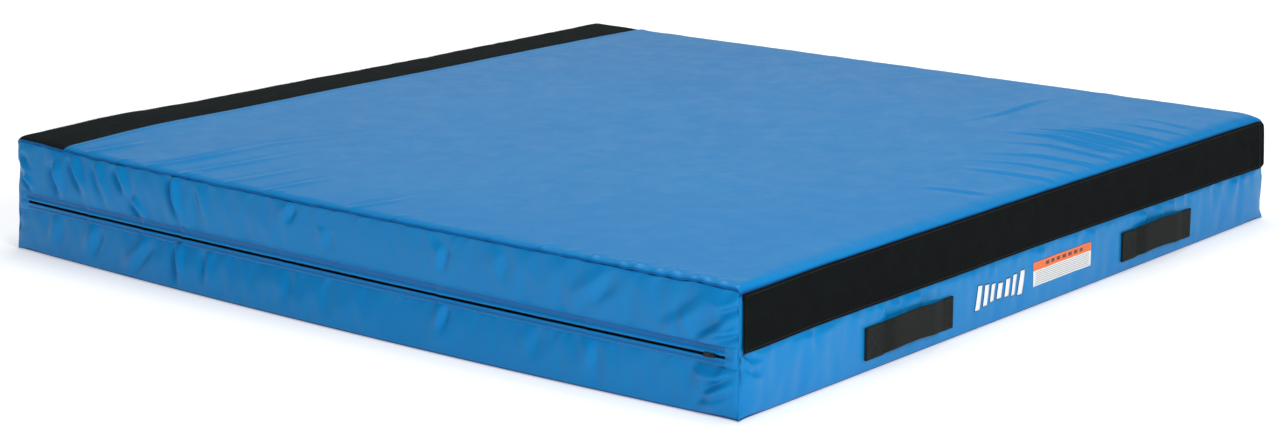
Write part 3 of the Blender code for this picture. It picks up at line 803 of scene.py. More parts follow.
def strip_edge(x):
    """The inner edge of the black strip on the top, which pulls in a little at the zip end."""
    return STRIP_LOW[1] - 1.0 * MM * np.exp(-(x + HALF) / 0.07)


TOP_STEP = 0.0125
n = int(2 * HALF / TOP_STEP) + 1
x, y = np.meshgrid(np.linspace(-HALF, HALF, n), np.linspace(-HALF, HALF, n), indexing="ij")
start = np.stack(
    [
        x,
        y,
        top_height(x, y) + 0.8 * strokes(x, y, TOP_FOLDS, 1.9, 0.64) + 0.08 * MM * noise(
            x, y, 0.05, 0.05, 21
        ),
    ],
    -1,
)
edge = np.maximum(np.abs(x), np.abs(y)) > HALF - 1e-6
slack = 0.25 + 0.25 * noise(x, y, 0.16, 0.16, 23) + 0.8 * near_strokes(x, y, TOP_FOLDS, 0.05)
slack = slack + 0.4 * smooth((np.maximum(np.abs(x), np.abs(y)) - 0.55) / 0.2)
add_cloth("top", start, np.where(edge, 1.0, 0.5), slack, 0.005, 0.3, tension=30.0, bending=0.5)
MOVED = settle(26)
for key, field in MOVED.items():
    print("cloth", key, "out mm %.1f to %.1f" % (field.min() * 1e3, field.max() * 1e3))


# ---------------------------------------------------------------- where each wall lies
def side_point(side, s, z, out):
    """A point on one of the four sides, from the place along it, the height, and how far it stands out."""
    s, z, out = np.broadcast_arrays(s, z, out)
    if side == "zip":
        return np.stack([-HALF - out, s, z], -1)
    if side == "end":
        return np.stack([HALF + out, s, z], -1)
    if side == "front":
        return np.stack([s, -HALF - out, z], -1)
    return np.stack([s, HALF + out, z], -1)


BELLY_Z = np.array([0, 30, 75, 105, 150, 190]) * MM
BELLY = {  # how far each side bellies out half way along, at the heights in BELLY_Z
    "zip": np.array([22, 15, 6, 5, 7, 7]) * MM,
    "front": np.array([1.5, 1, 0, 0, 0, 0]) * MM,
    "rear": np.array([5, 4, 2, 0, 0, 0]) * MM,
    "end": np.array([5, 4, 2, 0, 0, 0]) * MM,
}


def belly(side, s, z):
    """The foam pushes the middle of a side out, mostly near its base."""
    return np.interp(z, BELLY_Z, BELLY[side]) * np.clip(1 - (s / HALF) ** 2, 0, 1)


def follow_sides(points):
    """Moves the edge of a flat sheet out with the sides that it is sewn to."""
    p = np.array(points, float)
    x, y, z = p[..., 0].copy(), p[..., 1].copy(), p[..., 2]
    near = 0.12
    p[..., 0] += (
        belly("end", y, z) * smooth(1 - (HALF - x) / near)
        - belly("zip", y, z) * smooth(1 - (HALF + x) / near)
    )
    p[..., 1] += (
        belly("rear", x, z) * smooth(1 - (HALF - y) / near)
        - belly("front", x, z) * smooth(1 - (HALF + y) / near)
    )
    return p


def base_seam(s):
    """Height of the bottom seam along a side: it lifts near the corners and dips into a small ear at them."""
    d = HALF - np.abs(s)
    lift = smooth((d - 6 * MM) / (20 * MM)) * (1 - smooth((d - 34 * MM) / (46 * MM)))
    return BASE_SEAM + 1.3 * MM * lift - 2.3 * MM * np.exp(-np.maximum(d, 0) / (7 * MM))


def top_seam(side):
    """The height of the seam along the top of a side, as a function of the place along it."""
    at = HALF if side in ("end", "rear") else -HALF
    if side in ("zip", "end"):
        return lambda s: top_height(np.full(np.shape(s), at), s) - 1.0 * MM
    return lambda s: top_height(s, np.full(np.shape(s), at)) - 1.0 * MM


SURFACE = {}
EDGE_ROWS = mm(0, 0.8, 2.0, 3.8, 6.2, 9.5)
HANDLE_SPANS = []
for node in ("left", "right"):
    a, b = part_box(f"front_{node}_handle_tab_a")
    c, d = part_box(f"front_{node}_handle_tab_b")
    HANDLE_SPANS.append((a[0], b[0], c[0], d[0], a[2], b[2]))


BEHIND_FLAP = 0.090  # above this the flap covers the front side, and its cloth lies flat
STROKES_AFTER = 0.72  # the share of each stroke that is added again after the simulation


def box_mask(s, z, s0, s1, z0, z1):
    """1 inside a box, fading to 0 over 8 mm outside it."""
    beyond = np.maximum(np.maximum(s0 - s, s - s1), np.maximum(z0 - z, z - z1))
    return 1 - smooth(beyond / 0.008)


def wall(name, key, side, bottom, top, flip, replaced, tuck=(1.0, 1.0)):
    """One cover panel. bottom and top give its seams' heights, and tuck how far each one is drawn in."""
    (low, high), folds, _, _, seed = WALLS[key]
    step = {"zip": 3.1, "front": 4.0}.get(side, 8.0) * MM
    s = stations(-INNER, INNER, step, EDGE_ROWS)
    height = float(np.mean(top(s) - bottom(s)))
    up = stations(0, height, step, EDGE_ROWS) / height
    S, T = np.meshgrid(s, up, indexing="ij")
    Z = bottom(S) + T * (top(S) - bottom(S))
    field = MOVED[key]
    n, m = field.shape[:2]
    if key == "front":  # its cloth ends part of the way up, behind the flap
        where = np.clip((up * height + BASE_SEAM - low) / (high - low), 0, 1) * (m - 1)
    else:
        where = up * (m - 1)
    field = resample(field, (s + INNER) / (2 * INNER) * (n - 1), where)
    start = 0.45 * strokes(S, Z, folds) * np.sin(math.pi * np.clip((Z - low) / (high - low), 0, 1))
    out = np.clip(field[..., 0] + start, -2.5 * MM, 8.0 * MM)
    out = out + STROKES_AFTER * strokes(S, Z, folds)
    if key == "front":
        room = np.where(Z > BEHIND_FLAP, 3.0 * MM * (1 - smooth((Z - BEHIND_FLAP) / 0.010)), 1.0)
        out = np.minimum(out, room)
        out = np.where(Z > FRONT_CLOTH_TOP, 0.0, out) - 0.4 * MM * smooth((Z - BEHIND_FLAP) / 0.02)
    if key in ("front", "rear"):
        for s0, s1, s2, s3, z0, z1 in HANDLE_SPANS:
            for a, b in ((s0, s1), (s2, s3)):
                mask = 0.85 * box_mask(S, Z, a, b, z0, z1)
                inside = mask > 0.8
                out = out * (1 - mask) + mask * float(out[inside].mean())
    if key == "front":
        mask = 0.6 * box_mask(S, Z, LABEL_LOW[0], LABEL_HIGH[0], LABEL_LOW[2], LABEL_HIGH[2])
        out = out * (1 - mask) + mask * float(out[mask > 0.55].mean())
    near = np.minimum(np.minimum(T, 1 - T) * height, INNER - np.abs(S))
    drawn = np.where(np.minimum(T, 1 - T) * height < INNER - np.abs(S), np.where(T < 0.5, *tuck), 1.0)
    corner, rim = INNER - np.abs(S), (1 - T) * height
    pucker = 2.4 * noise(Z + 0.25 * S, S, 0.013, 0.06, seed + 30) * np.exp(-corner / 0.019) * smooth(
        corner / (3 * MM)
    )
    pucker = (
        pucker
        + 0.9 * noise(S + 0.4 * Z, Z, 0.011, 0.05, seed + 31) * np.exp(-rim / 0.009) * smooth(rim / (2 * MM))
    )
    if side == "front":  # gathered by the flap's lower edge, and flat behind the flap
        pucker = (
            pucker
            + 1.1 * noise(S + 0.2 * Z, Z, 0.013, 0.06, 39) * np.exp(-np.abs(FLAP_LOW[2] - 0.012 - Z) / 0.010)
        )
        pucker = pucker * smooth((FLAP_LOW[2] - Z) / 0.008)
    out = out + pucker * MM
    if key == "upper":
        out = out + 2.6 * MM * np.exp(-T * height / (9 * MM)) * smooth(corner / 0.03)
    out = out + belly(side, S, Z) - drawn * SEAM_IN * np.exp(-near / (1.1 * MM))
    hold = smooth(near / (4 * MM))
    grid = side_point(side, S + field[..., 1] * hold, Z + field[..., 2] * hold, out)
    # painted shade in the groove where the seam is drawn in
    seam = np.clip(drawn, 0, 1) * np.exp(-((near / (0.8 * MM)) ** 2))
    obj = cloth_sheet(name, grid, flip, seam, VINYL)
    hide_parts(*replaced)
    SURFACE[key] = (s, up, out, bottom, top)
    return obj


def surface_out(key, s, z):
    """How far a wall's cloth stands out at scattered places."""
    s_at, up, out, bottom, top = SURFACE[key]
    t = (z - bottom(s)) / (top(s) - bottom(s))
    return sample(out, np.interp(s, s_at, np.arange(len(s_at))), np.interp(t, up, np.arange(len(up))))


def level(value):
    return lambda s: np.full(np.shape(s), float(value))


wall(
    "cover_zip_side_upper",
    "upper",
    "zip",
    level(ZIP_CREASE_HIGH),
    top_seam("zip"),
    True,
    ["zip_end_upper_panel"],
    (-0.4, 1.0),
)
wall(
    "cover_zip_side_lower",
    "lower",
    "zip",
    base_seam,
    level(ZIP_CREASE_LOW),
    True,
    ["zip_end_lower_panel"],
    (1.0, -0.4),
)
wall("cover_front_side", "front", "front", base_seam, top_seam("front"), False, ["front_side_panel"])
wall("cover_rear_side", "rear", "rear", base_seam, top_seam("rear"), True, ["rear_side_panel"])
wall("cover_plain_end", "end", "end", base_seam, top_seam("end"), False, ["plain_end_panel"])

# a round welt down each corner seam
turn = np.arange(8) * math.tau / 8
for number, (way_x, way_y) in enumerate(((-1, -1), (1, -1), (1, 1), (-1, 1)), 1):
    z = np.linspace(
        1.2 * MM, float(top_height(np.array(way_x * HALF), np.array(way_y * HALF))) - 1.6 * MM, 90
    )
    centre = np.stack([np.full(90, way_x * INNER), np.full(90, way_y * INNER), z], -1)
    ring = np.stack([np.cos(turn), np.sin(turn)], 1) * 0.9 * MM
    sweep(f"cover_corner_seam_{number}", centre, (1, 0, 0), (0, 1, 0), ring[::-1], VINYL)


# ---------------------------------------------------------------- top and bottom of the cover
def top_surface(x, y):
    """Height of the finished top sheet, folds and simulated cloth included."""
    field = MOVED["top"][..., 2]
    n = field.shape[0]
    at = (x + HALF) / (2 * HALF) * (n - 1), (y + HALF) / (2 * HALF) * (n - 1)
    away = smooth((HALF - np.maximum(np.abs(x), np.abs(y))) / 0.012)
    moved = np.clip(sample(field, *at), -2.0 * MM, 2.5 * MM)
    z = (
        top_height(x, y)
        + away * (moved + strokes(x, y, TOP_FOLDS, 1.9, 0.64) + 0.12 * MM * noise(x, y, 0.11, 0.11, 31))
    )
    by_seam = np.exp(-(((x + HALF - 11 * MM) / (11 * MM)) ** 2))
    for place, rise in SEAM_PUCKERS:
        z = z + rise * MM * by_seam * np.exp(-(((y - place + 0.45 * (x + HALF)) / (5.2 * MM)) ** 2))
    return z


s = stations(-HALF, HALF, 5.0 * MM, mm(0, 0.25, 1.0, 2.4, 4.4, 7.2, 11, 15.5, 20.5, 26, 32))
X, Y = np.meshgrid(s, s, indexing="ij")
Z = top_surface(X, Y)
ring = np.concatenate([[-INNER], s, [INNER]])
full = np.empty((len(ring), len(ring), 3))
full[..., 0], full[..., 1] = np.meshgrid(ring, ring, indexing="ij")
full[..., 2] = np.pad(Z, 1, mode="edge")
rim = np.pad(np.zeros(Z.shape), 1, constant_values=1.0) > 0
full[..., 2] -= np.where(rim, 1.0 * MM, 0.0)
near = HALF - np.maximum(np.abs(full[..., 0]), np.abs(full[..., 1]))
# the seam values paint shade along the rim where the top is sewn to the sides
top = cloth_sheet(
    "cover_top_sheet",
    follow_sides(full),
    False,
    np.where(rim, 1.0, np.exp(-((near / (1.2 * MM)) ** 2))),
    VINYL,
    levels=0,
)
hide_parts("top_panel")

s = stations(-INNER, INNER, 12 * MM, mm(0, 1.0, 2.2, 3.8, 5.5, 8, 13, 20))
X, Y = np.meshgrid(s, s, indexing="ij")
edge_x, edge_y = INNER - np.abs(X), INNER - np.abs(Y)
near = np.minimum(edge_x, edge_y)
along = np.where(edge_x < edge_y, Y, X)
rise = (base_seam(along) - 0.4 * MM) * np.clip(1 - near / (5.5 * MM), 0, 1) ** 2
Z = 0.4 * MM + rise + 0.35 * MM * np.clip(noise(X, Y, 0.06, 0.05, 41), 0, 1) * smooth(near / 0.03)
# the seam values paint shade along the bottom sheet's sewn rim
bottom = cloth_sheet(
    "cover_bottom_sheet",
    follow_sides(np.stack([X, Y, Z], -1)),
    True,
    np.exp(-((near / (1.6 * MM)) ** 2)),
    VINYL_BOTTOM,
    levels=0,
)
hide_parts("bottom_panel")

# black loop strip along the far top edge, sewn down
u = np.concatenate([[0, 0.0015, 0.004], np.linspace(0.01, 0.99, 21), [0.996, 0.9985, 1]])
x = stations(-HALF + 1.2 * MM, HALF - 1.2 * MM, 6 * MM, mm(0, 1, 2.5, 4.5, 7.5, 12))
X, U = np.meshgrid(x, u, indexing="ij")
Y = strip_edge(X) + U * (STRIP_HIGH[1] + 3 * MM - strip_edge(X))
step = 0.5 * MM
base = top_surface(X, Y)
slope_x = (top_surface(np.clip(X + step, -HALF, HALF), Y) - top_surface(np.clip(X - step, -HALF, HALF), Y)) / (
    2 * step
)
slope_y = (top_surface(X, np.minimum(Y + step, HALF)) - top_surface(X, Y - step)) / (
    np.minimum(Y + step, HALF) - Y + step
)
normal = np.stack([-slope_x, -slope_y, np.ones(X.shape)], -1)
normal /= np.linalg.norm(normal, axis=-1)[..., None]
rim = np.minimum(np.minimum(U, 1 - U) * 0.1, (HALF - 1.2 * MM - np.abs(X)))
lift = 0.9 * MM + 0.9 * MM * smooth(rim / (2.5 * MM)) + 0.2 * MM * noise(X, Y, 0.04, 0.03, 51)
strip = cloth_sheet(
    "rear_loop_strip",
    follow_sides(np.stack([X, Y, base], -1) + normal * lift[..., None]),
    False,
    None,
    LOOP_PILE,
    thickness=1.0 * MM,
    levels=1,
)
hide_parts("loop_strip")
runs = []
for inset in (4.5 * MM, STRIP_HIGH[1] - STRIP_LOW[1] - 3 * MM):
    xs = np.linspace(-HALF + 6 * MM, HALF - 6 * MM, 700)
    ys = strip_edge(xs) + inset + np.where(inset > 0.02, STRIP_LOW[1] - strip_edge(xs), 0)
    runs.append(follow_sides(np.stack([xs, ys, top_surface(xs, ys) + 1.9 * MM], -1)))
stitches("loop_strip_stitches", runs, (0, 0, 1), BLACK_THREAD)

# ---------------------------------------------------------------- zip: lips, tapes, teeth, closed ends
LIP_START, LIP_END = UPPER_LIP_LOW[1], UPPER_LIP_HIGH[1]
UPPER_PROFILE = [  # (stand-out, height) in mm over the top of the slit
    (0.2, 18.0), (1.6, 16.8), (2.3, 15.2), (1.9, 13.2), (1.2, 10.8), (0.8, 8.2), (0.8, 5.8), (1.8, 4.4),
    (2.5, 3.0), (2.4, 1.2), (1.6, 0.2), (0.9, 0.1), (0.5, 1.0), (0.4, 2.4),
]  # fmt: skip
LOWER_PROFILE = [  # (stand-out, height) in mm under the bottom of the slit
    (0.4, -2.4), (0.5, -1.0), (1.0, -0.1), (2.4, 0.0), (3.6, -0.8), (3.6, -2.0), (2.2, -3.4),
    (1.0, -4.8), (1.0, -6.2), (1.4, -8.2), (1.1, -10.2), (0.1, -11.6), (-1.0, -12.4),
]  # fmt: skip
# folds that cross the zip, as (place, mm). Their places follow the readings used for the walls' folds.
CREASES = ((0.345, 2.6), (0.440, 1.6), (0.575, 1.4), (-0.214, 1.5), (0.115, 1.0), (-0.500, 1.0))


def slit_sag(y):
    """The slit hangs a little between its ends."""
    return 1.6 * MM * np.clip(1 - (y / HALF) ** 2, 0, 1)


def lip(name, profile, edge, seed, replaced):
    """One folded edge of the zip's cover, a little wavy along its length."""
    y = stations(LIP_START, LIP_END, 5 * MM, mm(0, 1.5, 4, 8))
    profile = np.array(profile) * MM
    Yg, k = np.meshgrid(y, np.arange(len(profile)), indexing="ij")
    fade = np.minimum(
        smooth((Yg - LIP_START + 2 * MM) / (16 * MM)), smooth((LIP_END + 2 * MM - Yg) / (16 * MM))
    )
    share = 1 - np.abs(profile[k, 1]) / np.abs(profile[:, 1]).max()
    wave = noise(Yg, k * 0.0, 0.045, 1.0, seed)
    ripple = noise(Yg, k * 0.4, 0.014, 1.0, seed + 1)
    out = profile[k, 0] * (0.55 + 0.45 * fade) + (0.30 * wave + 0.16 * ripple) * MM * (0.3 + share) * fade
    for place, rise in CREASES:
        out = (
            out
            + rise * MM * (
                np.exp(-(((Yg - place) / (5 * MM)) ** 2))
                - 0.6 * np.exp(-(((Yg - place - 11 * MM) / (7 * MM)) ** 2))
            )
        )
    z = edge + profile[k, 1] + 0.25 * MM * wave * share * fade - slit_sag(Yg)
    upper = profile[-1, 1] > 0
    # painted shade: the seam values darken the recessed band above the slit, the shadowed crease under it, and
    # the crease where each lip meets its wall
    if upper:
        seam = (
            0.04
            + 0.66 * smooth((profile[k, 1] - 4.0 * MM) / (2.0 * MM)) * smooth(
                (16.5 * MM - profile[k, 1]) / (3.0 * MM)
            )
        )
    else:
        seam = 0.04 + 0.6 * np.exp(-(((profile[k, 1] + 5.4 * MM) / (2.0 * MM)) ** 2))
    seam = seam + 0.2 * np.exp(-(((np.abs(profile[k, 1]) - np.abs(profile[:, 1]).max()) / (1.6 * MM)) ** 2))
    points = side_point("zip", Yg, z, out + belly("zip", Yg, z))
    obj = cloth_sheet(name, points, False, seam, VINYL, thickness=0.7 * MM)
    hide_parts(replaced)
    return obj


upper = lip("zip_cover_upper_lip", UPPER_PROFILE, UPPER_LIP_LOW[2], 61, "zip_upper_lip")
lower = lip("zip_cover_lower_lip", LOWER_PROFILE, LOWER_LIP_HIGH[2], 67, "zip_lower_lip")
ys = np.linspace(LIP_START + 8 * MM, LIP_END - 8 * MM, 500)
runs = []
for out, z in ((2.1, UPPER_LIP_LOW[2] + 11.4 * MM), (2.2, LOWER_LIP_HIGH[2] - 8.0 * MM)):
    runs.append(side_point("zip", ys, z - slit_sag(ys), out * MM + belly("zip", ys, z)))
stitches("zip_lip_stitches", runs, (-1, 0, 0), BLUE_THREAD, radius=0.3 * MM)

for place, (low_y, high_y), node in (
    ("near", (-INNER, LIP_START + 8 * MM), "zip_near_end_stay"),
    ("far", (LIP_END - 8 * MM, INNER), "zip_far_end_stay"),
):
    y = stations(low_y, high_y, 3 * MM, mm(0, 1.0, 2.5))
    z = stations(LOWER_LIP_LOW[2] - 3.0 * MM, UPPER_LIP_HIGH[2] + 3.0 * MM, 3 * MM, mm(0, 1.0, 2.5))
    Yg, Zg = np.meshgrid(y, z, indexing="ij")
    corner = INNER - np.abs(Yg)
    rim = np.minimum(Zg - z[0], z[-1] - Zg)
    out = -SEAM_IN + 2.6 * MM * smooth(corner / (7 * MM)) * smooth((rim + 1 * MM) / (6 * MM))
    out = (
        out
        - 0.9 * MM * np.exp(-(((Zg - 0.5 * (z[0] + z[-1])) / (2.2 * MM)) ** 2)) * smooth(corner / (6 * MM))
    )
    out = (
        out
        + 1.1 * MM * noise(Zg + 0.3 * Yg, Yg, 0.010, 0.03, 75) * smooth(corner / (6 * MM)) * smooth(
            rim / (4 * MM)
        )
    )
    # painted shade in the corner seam's groove
    seam = np.exp(-((corner / (1.5 * MM)) ** 2))
    obj = cloth_sheet(
        f"zip_{place}_end_closure",
        side_point("zip", Yg, Zg, out + belly("zip", Yg, Zg)),
        True,
        seam,
        VINYL,
    )
    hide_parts(node)

for part in ("upper", "lower"):
    low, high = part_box(f"zip_{part}_tape")
    y = np.arange(low[1], high[1] + 0.001, 0.012)
    centre = np.stack(
        [np.full(len(y), (low[0] + high[0]) / 2), y, np.full(len(y), (low[2] + high[2]) / 2)], -1
    )
    centre[:, 0] += 0.15 * MM * noise(y, 0 * y, 0.05, 1, 71) - belly("zip", y, centre[:, 2])
    centre[:, 2] -= slit_sag(y)
    tape = sweep(
        f"zip_{part}_tape_woven",
        centre,
        (0, 0, 1),
        (-1, 0, 0),
        tape_ring(high[2] - low[2], high[0] - low[0], 8),
        ZIP_TAPE,
    )
    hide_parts(f"zip_{part}_tape")
    low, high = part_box(f"zip_{part}_teeth")
    way = -1 if part == "upper" else 1  # towards the other row
    root, tip = (high[2], low[2]) if part == "upper" else (low[2], high[2])
    pitch = 2.5 * MM
    at = np.arange(low[1] + 0.8 * MM, high[1] - 0.8 * MM, pitch) + (0 if part == "upper" else pitch / 2)
    at = at[at < high[1] - 0.6 * MM]
    turn = (np.arange(8) + 0.5) * math.tau / 8
    levels = [
        (root, 0.80),
        (root + way * 1.5 * MM, 0.72),
        (tip - way * 0.9 * MM, 0.80),
        (tip + way * 0.5 * MM, 1.15),
        (tip + way * 1.0 * MM, 0.80),
    ]
    mid_x, deep = (low[0] + high[0]) / 2, (high[0] - low[0]) / 2
    one = np.array(
        [
            [
                mid_x + deep * size**0.3 * np.sign(c) * abs(c) ** 0.6,
                0.62 * MM * size * np.sign(q) * abs(q) ** 0.6,
                z,
            ]
            for z, size in levels
            for c, q in zip(np.cos(turn), np.sin(turn))
        ]
    )
    if way < 0:
        one = one.reshape(5, 8, 3)[:, ::-1].reshape(-1, 3)
    points = (one[None] + np.stack([-belly("zip", at, 0.088), at, -slit_sag(at)], -1)[:, None]).reshape(-1, 3)
    index = np.arange(len(points)).reshape(len(at), 5, 8)
    nxt = np.roll(index, -1, 2)
    faces = np.stack([index[:, :-1], nxt[:, :-1], nxt[:, 1:], index[:, 1:]], -1).reshape(-1, 4).tolist()
    faces += index[:, 0, ::-1].tolist() + index[:, -1].tolist()
    teeth = make(f"zip_{part}_teeth_row", points, faces, ZIP_NYLON, warp=False)
    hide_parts(f"zip_{part}_teeth")

# ---------------------------------------------------------------- connector flap
FLAP_MID = 2.75 * MM  # how far the middle of the flap stands out from the side
FAR_END = FLAP_HIGH[0]


def flap_point(x, t):
    """The flap's middle surface; t runs from 0 at the sewn top edge to 1 at the free edge."""
    near_far = smooth((x - (FAR_END - 0.13)) / 0.13)
    arc = flap_arc(x)
    base = FLAP_LOW[2] + (3.4 * arc - 1.6 + 0.4 * noise(x, 0 * x, 0.19, 1.0, 81)) * MM
    round_top = 15 * MM * ellipse(FAR_END - x, 22 * MM)
    round_base = 9 * MM * ellipse(FAR_END - x, 12 * MM)
    top_z = FLAP_HIGH[2] + 3.3 * MM * arc - round_top
    z = top_z + t * (base + round_base - top_z)
    out = FLAP_MID + t * (0.7 * MM + 0.7 * MM * np.clip(noise(x, t, 0.15, 1.5, 83), -1, 1.2))
    out = out + 1.6 * MM * near_far * t**0.7
    out = out + near_far * t * 0.7 * MM * noise(x, t * 0.3, 0.009, 1.0, 85)
    out = out + 0.35 * MM * noise(x, t, 0.035, 0.5, 87) * smooth(t / 0.2)
    return side_point("front", x, z, out)


x = stations(FLAP_LOW[0], FAR_END, 5.0 * MM, mm(0, 0.6, 1.6, 3.2, 5.5, 9, 13))
t = np.concatenate([[0, 0.008, 0.025, 0.05], np.linspace(0.1, 0.92, 14), [0.955, 0.98, 0.993, 1]])
X, T = np.meshgrid(x, t, indexing="ij")
flap = cloth_sheet(
    "connector_flap_cloth",
    flap_point(X, T),
    True,
    None,
    FLAP_CLOTH,
    thickness=2.4 * MM,
    body="connector_flap",
    offset=0.0,
    warp=False,
)
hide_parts("flap_backing", "flap_hook_tape")
xs = np.linspace(FLAP_LOW[0] + 4 * MM, FAR_END - 6 * MM, 500)
runs = []
for t_at in (0.045, 0.955):
    run = flap_point(xs, np.full(500, t_at))
    run[:, 1] -= 1.25 * MM
    runs.append(run)
run = flap_point(np.full(40, FAR_END - 18 * MM), np.linspace(0.06, 0.94, 40))
run[:, 1] -= 1.25 * MM
runs.append(run)
stitches(
    "connector_flap_stitches",
    runs,
    (0, -1, 0),
    BLACK_THREAD,
    body="connector_flap",
    warp=False,
)

mid = (np.array(HEM_LOW) + np.array(HEM_HIGH)) / 2
x = np.concatenate(
    [np.arange(HEM_LOW[0], HEM_HIGH[0] - 0.03, 0.01), np.linspace(HEM_HIGH[0] - 0.03, HEM_HIGH[0], 12)]
)
centre = np.stack([x, np.full(len(x), mid[1]), mid[2] - 14 * MM * ellipse(HEM_HIGH[0] - x, 30 * MM)], -1)
hem = sweep(
    "flap_hem_tape",
    centre,
    (0, 0, 1),
    (0, -1, 0),
    tape_ring(HEM_HIGH[2] - HEM_LOW[2], HEM_HIGH[1] - HEM_LOW[1], 6),
    ZIP_TAPE,
    warp=False,
)
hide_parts("flap_anchor_hem")

# ---------------------------------------------------------------- carrying handles
WEB_THICK = 2.0 * MM


def bow(x, span):
    """How far the free webbing stands off the side, and how far it rides up, between its two sewn tabs."""
    _, tab_a, tab_b, _, _, _ = span
    u = np.clip((x - tab_a) / (tab_b - tab_a), 0, 1)
    rise = smooth(u / 0.16) * smooth((1 - u) / 0.26)
    off = 7.4 * MM * rise
    up = 6.5 * MM * np.sin(math.pi * u**0.72) ** 0.8
    return off, up


def webbing(name, key, side, span, first_half):
    """Half of a handle: folded under its tab, sewn down, then running free to the middle of the grip."""
    s0, s1, s2, s3, z0, z1 = span
    middle = 0.5 * (s1 + s2)
    outer, inner = (s0, s1) if first_half else (s3, s2)
    way = 1 if first_half else -1
    zc, width = 0.5 * (z0 + z1), z1 - z0

    def ground(x):
        return surface_out(key, x, np.full(np.shape(x), zc))

    lay = 1.15 * MM
    under = np.linspace(inner - way * 1.5 * MM, outer + way * 1.3 * MM, 16)
    turn = np.radians(np.linspace(-75, 75, 6))
    over = np.concatenate(
        [np.linspace(outer + way * 1.3 * MM, inner, 18), np.linspace(inner, middle, 34)[1:]]
    )
    g = float(ground(np.array([outer + way * 2 * MM]))[0])
    bend = (outer + way * 1.3 * MM - way * 1.1 * MM * np.cos(turn), g + 2.25 * MM + 1.1 * MM * np.sin(turn))
    off, up = bow(over, span)
    tab_sag = 0.25 * MM * noise(over, 0 * over, 0.02, 1, 91)
    xs = np.concatenate([under, bend[0], over])
    outs = np.concatenate(
        [
            ground(under) + lay,
            bend[1],
            ground(over) * (1 - off / (7.4 * MM)) + off / (7.4 * MM) * g + 3.35 * MM + off + tab_sag,
        ]
    )
    ups = np.concatenate([0 * under, 0 * turn, up])
    centre = side_point(side, xs, zc + ups, outs)
    tangent = np.gradient(centre, axis=0)
    tangent /= np.linalg.norm(tangent, axis=1)[:, None]
    across = np.broadcast_to(np.array([0.0, 0.0, 1.0]), centre.shape)
    outward = np.cross(tangent, across)
    outward /= np.linalg.norm(outward, axis=1)[:, None]
    if outward[-1, 1] * (-1.0 if side == "front" else 1.0) < 0:
        outward = -outward
    ring = tape_ring(width, WEB_THICK, 14)
    if (np.cross(across[-1], outward[-1]) @ tangent[-1]) < 0:
        ring = ring[::-1]
    obj = sweep(name, centre, across, outward, ring, WEBBING, body=None, warp=False)
    tuple(side_point(side, inner + way * 1 * MM, zc, 0.0))
    tuple(side_point(side, inner + way * 38 * MM, zc, 0.0))
    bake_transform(obj)
    return obj


def box_stitch(s0, s1, z0, z1):
    """A sewn box with a cross in it, as runs of (along, height)."""
    corners = [(s0, z0), (s1, z0), (s1, z1), (s0, z1), (s0, z0)]
    lines = [(a, b) for a, b in zip(corners[:-1], corners[1:])] + [((s0, z0), (s1, z1)), ((s0, z1), (s1, z0))]
    return [np.linspace(a, b, 20) for a, b in lines]


for side in ("front", "rear"):
    for place, span in zip(("left", "right"), HANDLE_SPANS):
        body, node = f"{side}_{place}_grip", f"{side}_{place}_handle"
        s0, s1, s2, s3, z0, z1 = span
        a = webbing(f"{node}_webbing_a", side, side, span, True)
        b = webbing(f"{node}_webbing_b", side, side, span, False)
        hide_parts(f"{node}_tab_a", f"{node}_grip")
        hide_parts(f"{node}_tab_b")
        runs = []
        for t0, t1 in ((s0, s1), (s2, s3)):
            for line in box_stitch(t0 + 4 * MM, t1 - 4 * MM, z0 + 4 * MM, z1 - 4 * MM):
                out = surface_out(side, line[:, 0], np.full(20, 0.5 * (z0 + z1))) + 4.45 * MM
                runs.append(side_point(side, line[:, 0], line[:, 1], out))
        stitches(
            f"{node}_stitches",
            runs,
            (0, -1 if side == "front" else 1, 0),
            BLACK_THREAD,
            pitch=3.2 * MM,
            warp=False,
        )


# ---------------------------------------------------------------- label and printed mark
def on_front(x, z, above):
    return side_point("front", x, z, surface_out("front", x, z) + above)


x = np.linspace(LABEL_LOW[0], LABEL_HIGH[0], 60)
z = np.linspace(LABEL_LOW[2], LABEL_HIGH[2], 18)
X, Zg = np.meshgrid(x, z, indexing="ij")
label = cloth_sheet(
    "side_label",
    on_front(X, Zg, 0.75 * MM),
    False,
    None,
    LABEL_PRINT,
    thickness=0.5 * MM,
    levels=0,
    warp=False,
)
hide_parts("label_patch")
inset = 1.6 * MM
corners = [
    (LABEL_LOW[0] + inset, LABEL_LOW[2] + inset),
    (LABEL_HIGH[0] - inset, LABEL_LOW[2] + inset),
    (LABEL_HIGH[0] - inset, LABEL_HIGH[2] - inset),
    (LABEL_LOW[0] + inset, LABEL_HIGH[2] - inset),
]
runs = []
for a, b in zip(corners, corners[1:] + corners[:1]):
    line = np.linspace(a, b, 60)
    runs.append(on_front(line[:, 0], line[:, 1], 0.8 * MM))
stitches(
    "side_label_stitches",
    runs,
    (0, -1, 0),
    WHITE_THREAD,
    pitch=2.8 * MM,
    length=2.0 * MM,
    radius=0.22 * MM,
    warp=False,
)

MARK = (-0.179, -0.038, 0.032, 0.074)  # low x, high x, low z, high z, read from the photo


